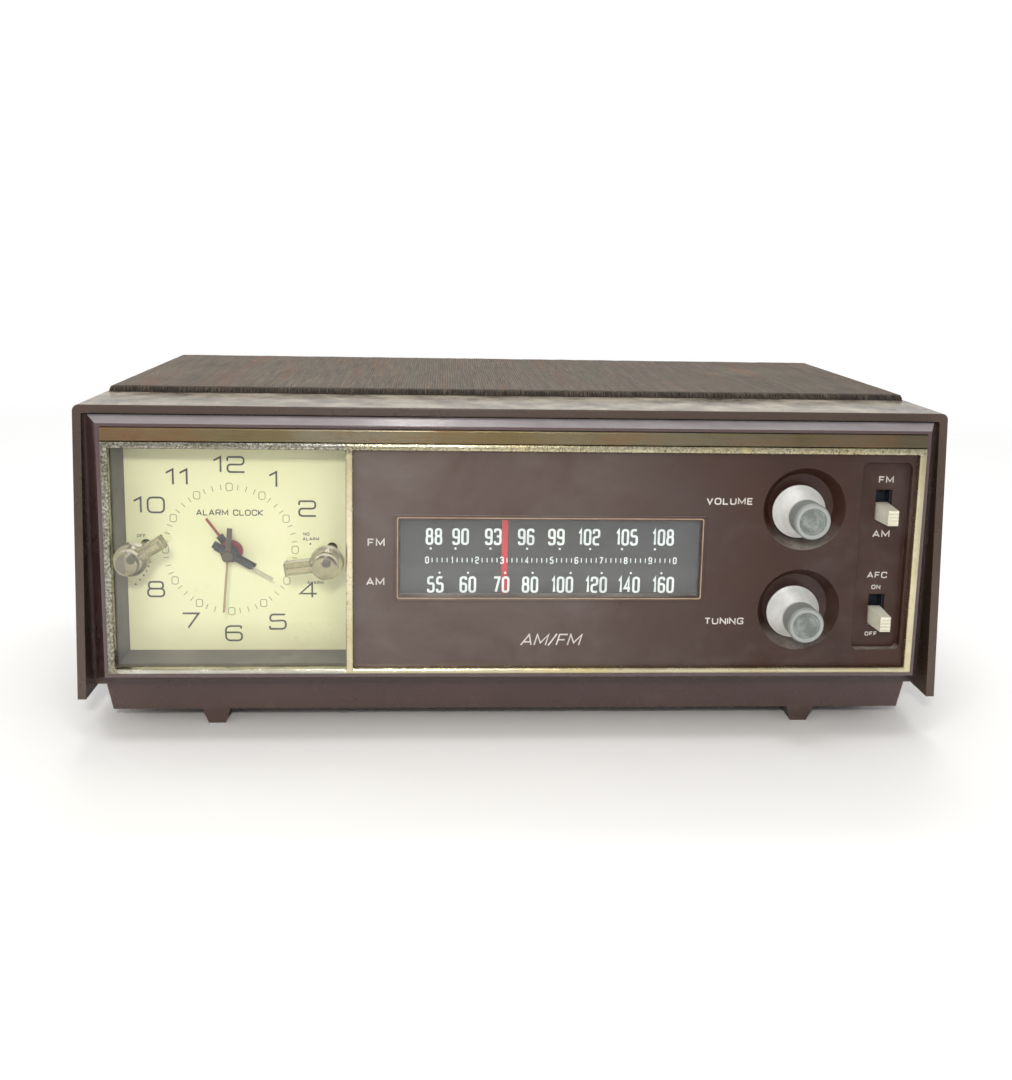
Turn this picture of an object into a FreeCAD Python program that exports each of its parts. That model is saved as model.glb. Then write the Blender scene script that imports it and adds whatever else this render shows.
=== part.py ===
import FreeCAD, Part
import math
import os

# Table-top clock radio.  Working frame: x to the right, y to the back, z up,
# y = 0 on the front edge of the cabinet's top.  Everything is moved by
# originShift when saved, so the origin is at the middle of the feet's plane.
vec = FreeCAD.Vector
originShift = vec(0, -68.0, 0)

# ---- driving dimensions, mm ----
halfWidth = 152.5           # cabinet, half of its width
topHeight = 117.5           # upper face of the cabinet's top
wallFoot = 14.8             # lower edge of the side walls
wall = 2.9
cabinetDepth = 155.0
frontRake = 7.4             # side walls lean forward by this at the bottom
faceY = -15.6               # front of the worn trim
panelY = -13.0              # front of the control panel
dialY = 4.0                 # front of the clock dial
arborX, arborZ = -100.2, 65.8
knobX, volumeZ, tuningZ = 96.8, 84.6, 48.6
winX0, winX1, winZ0, winZ1 = -41.0, 62.9, 54.0, 81.2
switchX = 127.3
wellX = 98.6             # the knob wells sit a little right of the shafts
wellRise = 0.9           # and a little above them
bandZ, afcZ, switchTravel = 84.05, 46.3, 4.6
pointerX = -4.8
drumX, drumZ, drumR = 15.0, 56.0, 28.3
idlerR, idlerZ, idlerLeftX, idlerRightX = 4.0, 88.0, -46.0, 68.0
cordY, cordR = 2.5, 0.4
shaftR = 3.0
running = 0.06              # radial play of a shaft in its bearing
plateY = 6.0                # front of the steel front chassis plate
speakerX, speakerY = 40.0, 84.0
sleepKnob = (-130.1, 67.6)
alarmKnob = (-65.3, 66.6)
pillarSpots = [(-124, 43), (-76, 43), (-124, 89), (-76, 89)]
screwSpots = [(-142, 25), (142, 25), (-142, 108), (142, 108)]
glandX, glandZ = 92.0, 30.0

# ---- clock gearing: centre distances follow from the tooth counts ----
coarse, fine = 0.5, 0.4     # tooth modules
pinionTeeth, motionTeeth, hourTeeth = 12, 36, 48
alarmTeeth, alarmSetTeeth, secondTeeth = 40, 20, 60
motionPhase = 10.0
timeSetAngle, alarmSetAngle, rotorAngle = -30.0, 200.0, 45.0


def around(x, z, distance, degrees):
    angle = math.radians(degrees)
    return x + distance * math.cos(angle), z + distance * math.sin(angle)


motionX, motionZ = around(arborX, arborZ, coarse * (pinionTeeth + motionTeeth) / 2, -90)
timeSetX, timeSetZ = around(motionX, motionZ, coarse * (pinionTeeth + motionTeeth) / 2, timeSetAngle)
alarmSetX, alarmSetZ = around(arborX, arborZ, coarse * (alarmTeeth + alarmSetTeeth) / 2, alarmSetAngle)
rotorX, rotorZ = around(arborX, arborZ, fine * (secondTeeth + pinionTeeth) / 2, rotorAngle)

parts = {}


def box(x0, x1, y0, y1, z0, z1):
    return Part.makeBox(x1 - x0, y1 - y0, z1 - z0, vec(x0, y0, z0))


def rod(x, z, r, y0, y1):
    return Part.makeCylinder(r, y1 - y0, vec(x, y0, z), vec(0, 1, 0))


def post(x, y, r, z0, z1):
    return Part.makeCylinder(r, z1 - z0, vec(x, y, z0), vec(0, 0, 1))


def bar(y, z, r, x0, x1):
    return Part.makeCylinder(r, x1 - x0, vec(x0, y, z), vec(1, 0, 0))


def cone(x, z, r0, r1, y0, y1):
    return Part.makeCone(r0, r1, y1 - y0, vec(x, y0, z), vec(0, 1, 0))


def plate(outline, y0, y1):
    points = [vec(x, y0, z) for x, z in outline]
    face = Part.Face(Part.makePolygon(points + points[:1]))
    return face.extrude(vec(0, y1 - y0, 0))


def turned(x, z, profile):
    """Solid of revolution about the y direction from (radius, y) points."""
    points = [vec(x + r, y, z) for r, y in profile]
    face = Part.Face(Part.makePolygon(points + points[:1]))
    return face.revolve(vec(x, 0, z), vec(0, 1, 0), 360)


def rectLoft(x0, x1, z0, z1, y0, x2, x3, z2, z3, y1):
    wires = []
    for a, b, c, d, y in ((x0, x1, z0, z1, y0), (x2, x3, z2, z3, y1)):
        corners = [vec(a, y, c), vec(b, y, c), vec(b, y, d), vec(a, y, d)]
        wires.append(Part.makePolygon(corners + corners[:1]))
    return Part.makeLoft(wires, True, True)


def spun(shape, x, z, degrees):
    """Turn clockwise as seen from the front about an axis along y."""
    turnedShape = shape.copy()
    turnedShape.rotate(vec(x, 0, z), vec(0, 1, 0), degrees)
    return turnedShape


def keep(node, *shapes):
    shape = shapes[0].copy() if len(shapes) == 1 else Part.makeCompound(list(shapes))
    shape.translate(originShift)
    parts[node] = shape


def joined(*shapes):
    return shapes[0].multiFuse(list(shapes[1:])).removeSplitter()


def without(shape, *tools):
    return shape.cut(list(tools))


def gear(x, z, teeth, module, y0, y1, phase, bore):
    """Spur gear with straight-flanked teeth; phase is the angle of one tooth."""
    pitch = teeth * module / 2.0
    outline = []
    for i in range(teeth):
        mid = math.radians(phase) + 2 * math.pi * i / teeth
        half = math.pi / (2 * teeth)
        for offset, r in ((-1.15, pitch - 1.15 * module), (-0.3, pitch + 0.8 * module),
                          (0.3, pitch + 0.8 * module), (1.15, pitch - 1.15 * module)):
            angle = mid + offset * half
            outline.append((x + r * math.cos(angle), z + r * math.sin(angle)))
    return without(plate(outline, y0, y1), rod(x, z, bore, y0 - 1, y1 + 1))


def meshPhase(wheelPhase, wheelTeeth, angle, otherTeeth):
    """Tooth angle for a gear standing at `angle` degrees from the wheel."""
    step = 360.0 / wheelTeeth
    offset = (wheelPhase - angle) % step
    return angle + 180.0 - offset * wheelTeeth / float(otherTeeth) + 180.0 / otherTeeth


# ---- cabinet ----
def cabinetShell():
    side = [(0, topHeight), (cabinetDepth, topHeight), (cabinetDepth, wallFoot), (-frontRake, wallFoot)]
    points = [vec(-halfWidth, y, z) for y, z in side]
    shell = Part.Face(Part.makePolygon(points + points[:1])).extrude(vec(2 * halfWidth, 0, 0))
    edges = [e for e in shell.Edges
             if abs(e.BoundBox.ZMin - topHeight) < 0.01 and e.BoundBox.YLength > 100]
    shell = shell.makeFillet(2.2, edges)
    inside = halfWidth - wall
    shell = without(shell, box(-inside, inside, -20, 200, 0, topHeight - wall))
    speakerHole = post(speakerX, speakerY, 47, topHeight - wall - 1, topHeight + 1)
    vents = [box(x - 24, x + 24, y, y + 2.2, topHeight - wall - 1, topHeight + 1)
             for x in (-110, -45) for y in range(50, 140, 8)]
    bosses = []
    for x, z in screwSpots:
        x0, x1 = (x - 4, inside + 0.1) if x > 0 else (-inside - 0.1, x + 4)
        bosses.append(box(x0, x1, 138.0, 150.0, z - 4, z + 4))
    holes = [rod(x, z, 1.7, 146.0, 160.0) for x, z in screwSpots]
    shell = joined(without(shell, speakerHole, *vents), *bosses)
    keep("cabinet_shell", without(shell, *holes))


def basePan():
    pan = rectLoftUp(145.7, 3.8, 151.0, 16.0, 143.8, 4.4, 150.4, 6.2)
    hollow = rectLoftUp(143.1, 6.4, 148.4, 16.5, 141.3, 7.0, 147.8, 8.8)
    rim = without(box(-149.6, 149.6, 3.8, 154.6, 16.0, 18.2), box(-143, 143, 8.5, 148.0, 15, 19))
    slots = [box(x, x + 2.4, 30, 70, 5, 10) for x in range(-90, 92, 9)]
    standoffs = [post(x, y, 3.0, 8.7, 30.0) for x in (-8, 135) for y in (56, 135)]
    keep("base_pan", joined(without(without(pan, hollow), *slots), rim, *standoffs))
    feet = []
    for x in (-107.5, 107.5):
        for y in (4.6, 135.0):
            feet.append(footSolid(x, y))
    keep("feet", *feet)


def rectLoftUp(halfTop, y0Top, y1Top, zTop, halfLow, y0Low, y1Low, zLow):
    wires = []
    for h, a, b, z in ((halfLow, y0Low, y1Low, zLow), (halfTop, y0Top, y1Top, zTop)):
        corners = [vec(-h, a, z), vec(h, a, z), vec(h, b, z), vec(-h, b, z)]
        wires.append(Part.makePolygon(corners + corners[:1]))
    return Part.makeLoft(wires, True, True)


def footSolid(x, y):
    wires = []
    for half, inset, z in ((3.0, 1.6, 0.0), (4.9, 0.0, 6.2)):
        corners = [vec(x - half, y + inset, z), vec(x + half, y + inset, z),
                   vec(x + half, y + 15 - inset, z), vec(x - half, y + 15 - inset, z)]
        wires.append(Part.makePolygon(corners + corners[:1]))
    return Part.makeLoft(wires, True, True)


def frontBezel():
    frame = rectLoft(-149.3, 149.3, 18.5, 114.3, 3.4, -140.7, 140.7, 25.7, 113.5, -14.5)
    inside = halfWidth - wall
    flange = box(-inside, inside, 2.9, 5.7, 18.5, topHeight - wall)
    back = rectLoft(-146.3, 146.3, 21.4, 112.0, 5.8, -140.2, 140.2, 26.8, 111.2, -11.9)
    opening = box(-138.8, 138.8, -16, 6, 27.4, 106.9)
    seat = box(-139.4, 139.4, -16, panelY, 27.0, 112.4)
    keep("front_bezel", without(joined(frame, flange), back, opening, seat))
    band = box(-139.2, 139.2, -15.2, panelY, 107.6, 112.2)
    longEdges = [e for e in band.Edges if e.BoundBox.XLength > 200 and e.BoundBox.YMax < -15]
    keep("gold_band", band.makeFillet(0.5, longEdges))


def trimFrame():
    outer = box(-139.3, 139.3, faceY, panelY, 27.1, 107.5)
    clockHole = box(-136.9, -58.9, -20, 0, 28.9, 105.2)
    panelHole = box(-56.5, 136.9, -20, 0, 28.9, 105.2)
    frame = without(outer, clockHole, panelHole)
    rims = [e for e in frame.Edges
            if abs(e.BoundBox.YMax - faceY) < 0.01 and abs(e.BoundBox.YMin - faceY) < 0.01]
    keep("trim_frame", frame.makeFillet(0.55, rims))


def roundedPocket(x0, x1, z0, z1, r, y0, y1):
    block = box(x0, x1, y0, y1, z0, z1)
    corners = [e for e in block.Edges if e.BoundBox.YLength > 0.9 * (y1 - y0)]
    return block.makeFillet(r, corners)


def controlPanel():
    body = box(-56.9, 138.6, panelY, panelY + 2.4, 27.6, 106.7)
    solids = []
    tools = [box(winX0, winX1, -20, 0, winZ0, winZ1)]
    for z in (volumeZ, tuningZ):
        solids.append(cone(wellX, z + wellRise, 15.9, 13.0, panelY + 0.5, -6.0))
        tools.append(cone(wellX, z + wellRise, 14.6, 11.6, panelY - 0.1, -8.0))
        tools.append(rod(knobX, z, 3.4, -20, 0))
    solids.append(box(117.0, 136.8, panelY + 0.5, -8.6, 33.8, 103.4))
    tools.append(roundedPocket(118.2, 135.7, 34.8, 102.2, 2.5, panelY - 1, -10.2))
    for z in (bandZ, afcZ):
        tools.append(box(switchX - 2.9, switchX + 2.9, -20, 0, z - 3.4, z + 3.4 + switchTravel))
    rim = without(box(winX0 - 2.2, winX1 + 2.2, -10.6, -8.5, winZ0 - 2.2, winZ1 + 2.2),
                  box(winX0, winX1, -11, 0, winZ0, 100))
    border = without(box(winX0 - 1.6, winX1 + 1.6, panelY - 0.35, panelY, winZ0 - 1.6, winZ1 + 1.6),
                     box(winX0 - 0.9, winX1 + 0.9, -20, 0, winZ0 - 0.9, winZ1 + 0.9))
    keep("control_panel", without(joined(body, rim, border, *solids), *tools))
    keep("tuner_lens", box(winX0, winX1, panelY + 0.5, panelY + 1.7, winZ0, winZ1))
    keep("tuner_scale", box(winX0 - 2.2, winX1 + 2.2, -8.5, -7.5, winZ0 - 2.2, winZ1 + 2.2))


# ---- clock ----
def clockSurround():
    outer = box(-138.2, -57.2, panelY, dialY + 1.0, 27.6, 106.6)
    inner = box(-136.9, -58.6, -20, 20, 28.8, 105.3)
    keep("clock_surround", without(outer, inner))
    crystal = box(-136.9, -58.6, -12.7, -11.5, 28.8, 105.3)
    crystalHoles = [rod(x, z, 1.9, -20, 0) for x, z in (sleepKnob, alarmKnob)]
    keep("clock_crystal", without(crystal, *crystalHoles))
    dial = box(-136.9, -58.6, dialY, dialY + 1.0, 28.8, 105.3)
    dialHoles = [rod(x, z, 1.9, 0, 10) for x, z in (sleepKnob, alarmKnob)]
    keep("clock_dial", without(dial, rod(arborX, arborZ, 3.3, 0, 10), *dialHoles))


def clockMovement():
    frontPlate = box(-127.4, -72, 14.0, 15.2, 39, 93)
    rearPlate = box(-127.4, -72, 34.0, 35.2, 39, 93)
    bores = [(arborX, arborZ, 1.6 + running, 0.8 + running),
             (timeSetX, timeSetZ, 2.0 + running, 2.0 + running),
             (alarmSetX, alarmSetZ, 2.0 + running, 2.0 + running),
             (rotorX, rotorZ, 1.0 + running, 1.0 + running)]
    frontPlate = without(frontPlate, *[rod(x, z, front, 10, 20) for x, z, front, rear in bores])
    rearPlate = without(rearPlate, *[rod(x, z, rear, 30, 40) for x, z, front, rear in bores])
    motionStud = rod(motionX, motionZ, 1.2, 7.9, 14.0)
    pillars = [rod(x, z, 2.4, 15.2, 34.0) for x, z in pillarSpots]
    posts = [rod(x, z, 2.0, dialY + 1.0, 14.0) for x, z in pillarSpots]
    keep("movement_frame", joined(frontPlate, rearPlate, motionStud, *(pillars + posts)))
    field = box(-122, -79, 37.0, 43.0, 68.0, 84.5)
    field = without(field, box(-114, -98.5, 36, 44, 72.0, 80.5), rod(rotorX, rotorZ, 7.4, 36, 44))
    stands = [rod(x, z, 1.8, 35.2, 37.0) for x, z in ((-119, 70), (-81, 70), (-81, 82.5), (-119, 82.5))]
    bobbin = without(box(-125.5, -110.6, 35.5, 44.6, 72.2, 80.3), box(-122, -114, 37.0, 43.0, 60, 95))
    keep("motor_stator", joined(field, *stands), bobbin)
    clips = [box(x, x + 5, 8.0, 20.0, 62.5, 71.5) for x in (-132.6, -67.8)]
    bodies = [without(clips[0], rod(sleepKnob[0], sleepKnob[1], 1.5 + running, 0, 30)),
              without(clips[1], rod(alarmKnob[0], alarmKnob[1], 1.5 + running, 0, 30))]
    necks = [without(rod(k[0], k[1], 2.4, dialY + 1.0, 8.0), rod(k[0], k[1], 1.5 + running, 0, 30))
             for k in (sleepKnob, alarmKnob)]
    keep("clock_switch_bodies", *[joined(body, neck) for body, neck in zip(bodies, necks)])


def baton(length, tail, width, y0, y1):
    return box(arborX - width / 2, arborX + width / 2, y0, y1, arborZ - tail, arborZ + length)


def clockHands():
    # pipes nest in one another: alarm outside, then hour, then minute, with the seconds arbor inside
    alarmHub = rod(arborX, arborZ, 4.0, 1.6, 2.4)
    alarmRoot = spun(box(arborX - 1.2, arborX + 1.2, 1.6, 2.4, arborZ + 3.0, arborZ + 7.0),
                     arborX, arborZ, 324)
    alarmTip = spun(box(arborX - 0.4, arborX + 0.4, 1.6, 2.2, arborZ + 6.5, arborZ + 14.5),
                    arborX, arborZ, 324)
    alarmHand = joined(alarmHub, alarmRoot, alarmTip)
    keep("alarm_hand", without(alarmHand, rod(arborX, arborZ, 2.3 + running, 0, 20)))

    hourBar = spun(baton(9.9, 6.6, 2.5, -1.2, -0.5), arborX, arborZ, 120)
    hourHand = joined(hourBar, rod(arborX, arborZ, 3.0, -1.2, -0.5))
    keep("hour_hand", without(hourHand, rod(arborX, arborZ, 1.6 + running, -5, 5)))

    minuteBar = spun(baton(8.8, 5.4, 1.9, -3.2, -2.6), arborX, arborZ, 120)
    minuteTip = spun(baton(17.4, 0, 0.9, -3.2, -2.8), arborX, arborZ, 120)
    minuteHand = joined(minuteBar, minuteTip, rod(arborX, arborZ, 2.6, -3.2, -2.6))
    keep("minute_hand", without(minuteHand, rod(arborX, arborZ, 0.8 + running, -5, 5)))

    secondBar = spun(baton(20.0, 0, 0.7, -5.2, -4.7), arborX, arborZ, 185)
    secondTail = spun(box(arborX - 0.9, arborX + 0.9, -5.2, -4.7, arborZ - 10.0, arborZ),
                      arborX, arborZ, 185)
    keep("second_hand", joined(secondBar, secondTail, rod(arborX, arborZ, 1.9, -6.0, -4.7)))


def pipe(outer, inner, y0, y1):
    return without(rod(arborX, arborZ, outer, y0, y1), rod(arborX, arborZ, inner, y0 - 1, y1 + 1))


def clockWheels():
    alarmWheel = gear(arborX, arborZ, alarmTeeth, coarse, 6.2, 7.6, 0.0, 2.3 + running)
    keep("alarm_wheel", joined(alarmWheel, pipe(3.0, 2.3 + running, 2.4, 6.2)))
    hourPhase = meshPhase(motionPhase, pinionTeeth, 90, hourTeeth)
    hourWheel = gear(arborX, arborZ, hourTeeth, fine, 8.4, 9.9, hourPhase, 1.6 + running)
    keep("hour_wheel", joined(hourWheel, pipe(2.3, 1.6 + running, -0.5, 8.4)))
    cannonPhase = meshPhase(motionPhase, motionTeeth, 90, pinionTeeth)
    cannon = gear(arborX, arborZ, pinionTeeth, coarse, 10.9, 12.6, cannonPhase, 0.8 + running)
    keep("cannon_pinion", joined(cannon, pipe(1.6, 0.8 + running, -2.6, 15.2)))

    motionBore = 1.2 + running
    wheel = gear(motionX, motionZ, motionTeeth, coarse, 11.0, 12.4, motionPhase, motionBore)
    pinion = gear(motionX, motionZ, pinionTeeth, fine, 8.2, 11.0, motionPhase, motionBore)
    keep("motion_wheel", joined(wheel, pinion))

    secondWheel = gear(arborX, arborZ, secondTeeth, fine, 20.0, 21.4, 0.0, 0.5)
    keep("second_arbor", joined(secondWheel, rod(arborX, arborZ, 0.8, -4.7, 36.6)))
    rotorPhase = meshPhase(0.0, secondTeeth, rotorAngle, pinionTeeth)
    rotorPinion = gear(rotorX, rotorZ, pinionTeeth, fine, 19.6, 21.8, rotorPhase, 0.5)
    rotorShaft = rod(rotorX, rotorZ, 1.0, 13.8, 38.0)
    keep("motor_rotor", joined(rotorPinion, rotorShaft, rod(rotorX, rotorZ, 6.8, 37.0, 43.0)))


def settingKnob(node, x, z, teeth, phase, gearY0, gearY1):
    grip = turned(x, z, [(0, 156.0), (7.6, 156.0), (8.0, 156.5), (8.0, 163.4), (7.4, 164.0), (0, 164.0)])
    grooves = [spun(box(x - 0.5, x + 0.5, 155, 165, z + 7.5, z + 9), x, z, 20 * i) for i in range(18)]
    keep(node + "_knob", without(grip, *grooves))
    pinion = gear(x, z, teeth, coarse, gearY0, gearY1, phase, 1.0)
    keep(node + "_shaft", joined(pinion, rod(x, z, 2.0, gearY0 - 0.2, 156.0)))


def clearKnob(node, x, z, angle, reach):
    body = turned(x, z, [(0, -13.6), (5.6, -13.6), (5.8, -14.2), (5.5, -17.2), (4.4, -18.4),
                         (4.2, -21.4), (3.6, -22.0), (0, -22.0)])
    arm = box(x - 2.2, x + 2.2, -18.4, -14.4, z, z + reach)
    armEdges = [e for e in arm.Edges if e.BoundBox.YMax < -18 and e.BoundBox.ZLength > 5]
    ridge = box(x - 0.9, x + 0.9, -20.6, -18.0, z, z + reach - 0.8)
    pointer = joined(arm.makeFillet(0.6, armEdges), ridge)
    knob = joined(body, spun(pointer, x, z, angle))
    keep(node + "_knob", joined(knob, rod(x, z, 1.5, -16.0, 18.0)))


# ---- radio controls ----
def metalKnob(node, z):
    profile = [(0, -11.4), (9.0, -11.4), (9.3, -11.9), (9.3, -12.5), (8.9, -13.0),
               (5.6, -18.2), (5.3, -18.9), (5.5, -19.6), (6.0, -20.2), (6.2, -26.9), (5.7, -28.0), (4.7, -28.0),
               (4.4, -27.5), (3.6, -27.5), (3.4, -27.2), (0, -27.2)]
    knob = turned(knobX, z, profile)
    keep(node + "_knob", without(knob, rod(knobX, z, shaftR, -24, -10)))
    grooved = [(0, -24.0), (shaftR, -24.0), (shaftR, cordY - 0.7), (2.45, cordY - 0.7),
               (2.45, cordY + 0.7), (shaftR, cordY + 0.7), (shaftR, 14.0), (0, 14.0)]
    plain = [(0, -24.0), (shaftR, -24.0), (shaftR, 14.0), (0, 14.0)]
    keep(node + "_shaft", turned(knobX, z, grooved if node == "tuning" else plain))


def slideSwitch(node, z):
    button = rectLoft(switchX - 2.4, switchX + 2.4, z - 3.0, z + 3.0, -7.6,
                      switchX - 1.8, switchX + 1.8, z - 2.6, z + 2.6, -19.8)
    ribs = [box(switchX - 3, switchX + 3, -21, -19.5, z - 2.3 + 1.2 * i, z - 1.9 + 1.2 * i)
            for i in range(4)]
    keep(node + "_switch_button", without(button, *ribs))


def slideSwitchBody(z):
    body = box(switchX - 5.5, switchX + 5.5, -8.6, 1.5, z - 5.5, z + 5.5 + switchTravel)
    track = box(switchX - 2.6, switchX + 2.6, -9, -4.0, z - 3.1, z + 3.1 + switchTravel)
    return without(body, track)


def beltWire(wheels, y):
    """Closed run of straight cord and arcs around wheels given clockwise from the front."""
    spans = []
    count = len(wheels)
    for i in range(count):
        x0, z0, r0 = wheels[i]
        x1, z1, r1 = wheels[(i + 1) % count]
        length = math.hypot(x1 - x0, z1 - z0)
        heading = math.atan2(z1 - z0, x1 - x0)
        normal = heading + math.acos((r0 - r1) / length)
        nx, nz = math.cos(normal), math.sin(normal)
        spans.append((vec(x0 + r0 * nx, y, z0 + r0 * nz), vec(x1 + r1 * nx, y, z1 + r1 * nz), normal))
    edges = []
    for i in range(count):
        x, z, r = wheels[i]
        arrive = spans[i - 1]
        leave = spans[i]
        turn = (arrive[2] - leave[2]) % (2 * math.pi)
        midAngle = arrive[2] - turn / 2
        middle = vec(x + r * math.cos(midAngle), y, z + r * math.sin(midAngle))
        edges.append(Part.Arc(arrive[1], middle, leave[0]).toShape())
        edges.append(Part.LineSegment(leave[0], leave[1]).toShape())
    return Part.Wire(edges[1:] + edges[:1])


def dialCord():
    wheels = [(idlerLeftX, idlerZ, idlerR), (idlerRightX, idlerZ, idlerR),
              (knobX, tuningZ, shaftR), (drumX, drumZ, drumR)]
    path = beltWire(wheels, cordY)
    section = Part.Wire(Part.makeCircle(cordR, path.Edges[0].Vertexes[0].Point, vec(1, 0, 0)))
    swept = path.makePipeShell([section], True, False)
    cord = swept if swept.ShapeType == "Solid" else Part.Solid(swept)
    print("dial cord volume", round(cord.Volume, 2), "section x length",
          round(math.pi * cordR ** 2 * path.Length, 2))
    keep("dial_cord", cord)


def grooveProfile(r, hub, y0, y1):
    return [(hub, y0), (r + 0.8, y0), (r + 0.8, cordY - 0.9), (r - 0.6, cordY - 0.6),
            (r - 0.6, cordY + 0.6), (r + 0.8, cordY + 0.9), (r + 0.8, y1), (hub, y1)]


def tunerDrive():
    drum = turned(drumX, drumZ, grooveProfile(drumR, shaftR, 0.8, 4.2))
    windows = [spun(rod(drumX, drumZ + 16.5, 6.2, 0, 6), drumX, drumZ, 60 * i) for i in range(6)]
    keep("dial_drum", without(drum, *windows))
    plates = [halfDisc(14.5, 17.2 + 4.0 * i, 18.0 + 4.0 * i) for i in range(6)]
    keep("capacitor_rotor", joined(rod(drumX, drumZ, shaftR, 0.8, 44.0), *plates))
    for name, x in (("idler_left", idlerLeftX), ("idler_right", idlerRightX)):
        keep(name, turned(x, idlerZ, grooveProfile(idlerR, 1.5 + running, 0.9, 4.1)))
    blade = box(pointerX - 1.0, pointerX + 1.0, -9.9, -9.3, 54.4, 87.6)
    arm = box(pointerX - 1.0, pointerX + 1.0, -9.9, 1.2, 86.6, 87.6)
    riser = box(pointerX - 1.0, pointerX + 1.0, 0.4, 1.4, 86.6, 91.0)
    carriage = box(pointerX - 4.0, pointerX + 4.0, 0.4, 4.6, 90.4, 99.6)
    pointerBores = [bar(cordY, 97.0, 1.0 + running, pointerX - 9, pointerX + 9),
                    bar(cordY, idlerZ + idlerR, cordR + 0.3, pointerX - 9, pointerX + 9)]
    keep("tuner_pointer", without(joined(blade, arm, riser, carriage), *pointerBores))


def halfDisc(r, y0, y1):
    disc = rod(drumX, drumZ, r, y0, y1)
    upperHalf = box(drumX - 20, drumX + 20, y0 - 1, y1 + 1, drumZ, drumZ + 20)
    return disc.common(joined(spun(upperHalf, drumX, drumZ, -122), rod(drumX, drumZ, 5.0, y0 - 1, y1 + 1)))


def frontChassis():
    sheet = box(-54, 113, plateY, plateY + 1.2, 18.2, 100.5)
    holes = [rod(drumX, drumZ, shaftR + running, 0, 20),
             rod(knobX, tuningZ, 4.5, 0, 20), rod(knobX, volumeZ, 4.5, 0, 20)]
    railEars = [box(x, x + 1.4, 1.2, plateY, 94.6, 99.4) for x in (-52.0, 76.0)]
    studs = [rod(x, idlerZ, 1.5, 0.6, plateY) for x in (idlerLeftX, idlerRightX)]
    rail = bar(cordY, 97.0, 1.0, -51.0, 76.4)
    bushing = without(rod(knobX, tuningZ, 4.6, plateY - 1.2, 12.0),
                      rod(knobX, tuningZ, shaftR + running, 0, 20))
    keep("chassis_plate", joined(without(joined(sheet, *railEars), *holes), bushing, rail, *studs))
    lamps = []
    for x, z in ((-50.0, 40.0), (77.0, 64.0)):
        lamps.append(joined(rod(x, z, 3.6, 0.5, plateY), rod(x, z, 2.6, -3.0, 0.5),
                            Part.makeSphere(2.6, vec(x, -3.0, z))))
    keep("dial_lamps", *lamps)
    pot = joined(rod(knobX, volumeZ, 4.5, -1.0, plateY + 1.2), rod(knobX, volumeZ, 9.0, plateY + 1.2, 17.0))
    keep("volume_control_body", without(pot, rod(knobX, volumeZ, shaftR + running, -5, 14.6)))


def tuningCapacitor():
    x0, x1, z0, z1 = drumX - 18, drumX + 18, drumZ - 18, drumZ + 18
    frame = without(box(x0, x1, plateY + 1.2, 43.0, z0, z1), box(x0 - 1, x1 - 1.2, 8.6, 41.6, z0 + 1.2, z1 - 1.2))
    frame = without(frame, rod(drumX, drumZ, shaftR + running, 0, 50))
    stators = []
    for i in range(5):
        y0 = 19.2 + 4.0 * i
        ring = without(rod(drumX, drumZ, 15.0, y0, y0 + 0.8), rod(drumX, drumZ, 6.0, 0, 60))
        half = ring.common(box(drumX, drumX + 20, y0 - 1, y0 + 2, drumZ - 20, drumZ + 20))
        tab = box(drumX + 14.0, x1 - 1.0, y0, y0 + 0.8, drumZ - 3, drumZ + 3)
        stators.append(joined(half, tab))
    keep("tuning_capacitor", joined(frame, *stators))


# ---- inside the cabinet ----
def speaker():
    lip = topHeight - wall
    basket = turnedUp(speakerX, speakerY, [(46.0, lip), (50.5, lip), (50.5, lip - 1.4), (45.5, lip - 2.4),
                                           (26.0, lip - 20.0), (22.0, lip - 21.5), (12.5, lip - 21.5),
                                           (12.5, lip - 20.3), (24.5, lip - 19.2), (44.5, lip - 1.6)])
    windows = [basketWindow(60 * i) for i in range(6)]
    magnet = post(speakerX, speakerY, 21.0, lip - 36.0, lip - 21.4)
    keep("speaker_basket", joined(without(basket, *windows), magnet))
    cone = turnedUp(speakerX, speakerY, [(45.6, lip - 0.6), (44.0, lip - 0.9), (42.0, lip - 2.4), (11.0, lip - 15.4),
                                         (7.0, lip - 12.4), (0, lip - 11.4), (0, lip - 10.8), (7.2, lip - 11.8),
                                         (11.0, lip - 14.6), (42.6, lip - 1.6), (44.2, lip), (45.6, lip)])
    keep("speaker_cone", without(cone, basket))


def turnedUp(x, y, profile):
    points = [vec(x + r, y, z) for r, z in profile]
    face = Part.Face(Part.makePolygon(points + points[:1]))
    return face.revolve(vec(x, y, 0), vec(0, 0, 1), 360)


def basketWindow(angle):
    lip = topHeight - wall
    opening = box(speakerX + 27, speakerX + 41, speakerY - 9, speakerY + 9, lip - 24, lip - 3.4)
    opening.rotate(vec(speakerX, speakerY, 0), vec(0, 0, 1), angle)
    return opening


def grille():
    board = box(-148.8, 148.8, 35.0, 150.6, topHeight, topHeight + 1.6)
    slots = [box(x, x + 2.5, y, y + 44, topHeight - 1, topHeight + 3)
             for x in range(-138, 136, 9) for y in (44, 97)]
    keep("grille_board", without(board, *slots))
    skin = box(-149.8, 149.8, 34.0, 151.6, topHeight, topHeight + 2.5)
    keep("grille_cloth", without(skin, box(-148.8, 148.8, 35.0, 150.6, topHeight - 1, topHeight + 1.6)))


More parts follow.
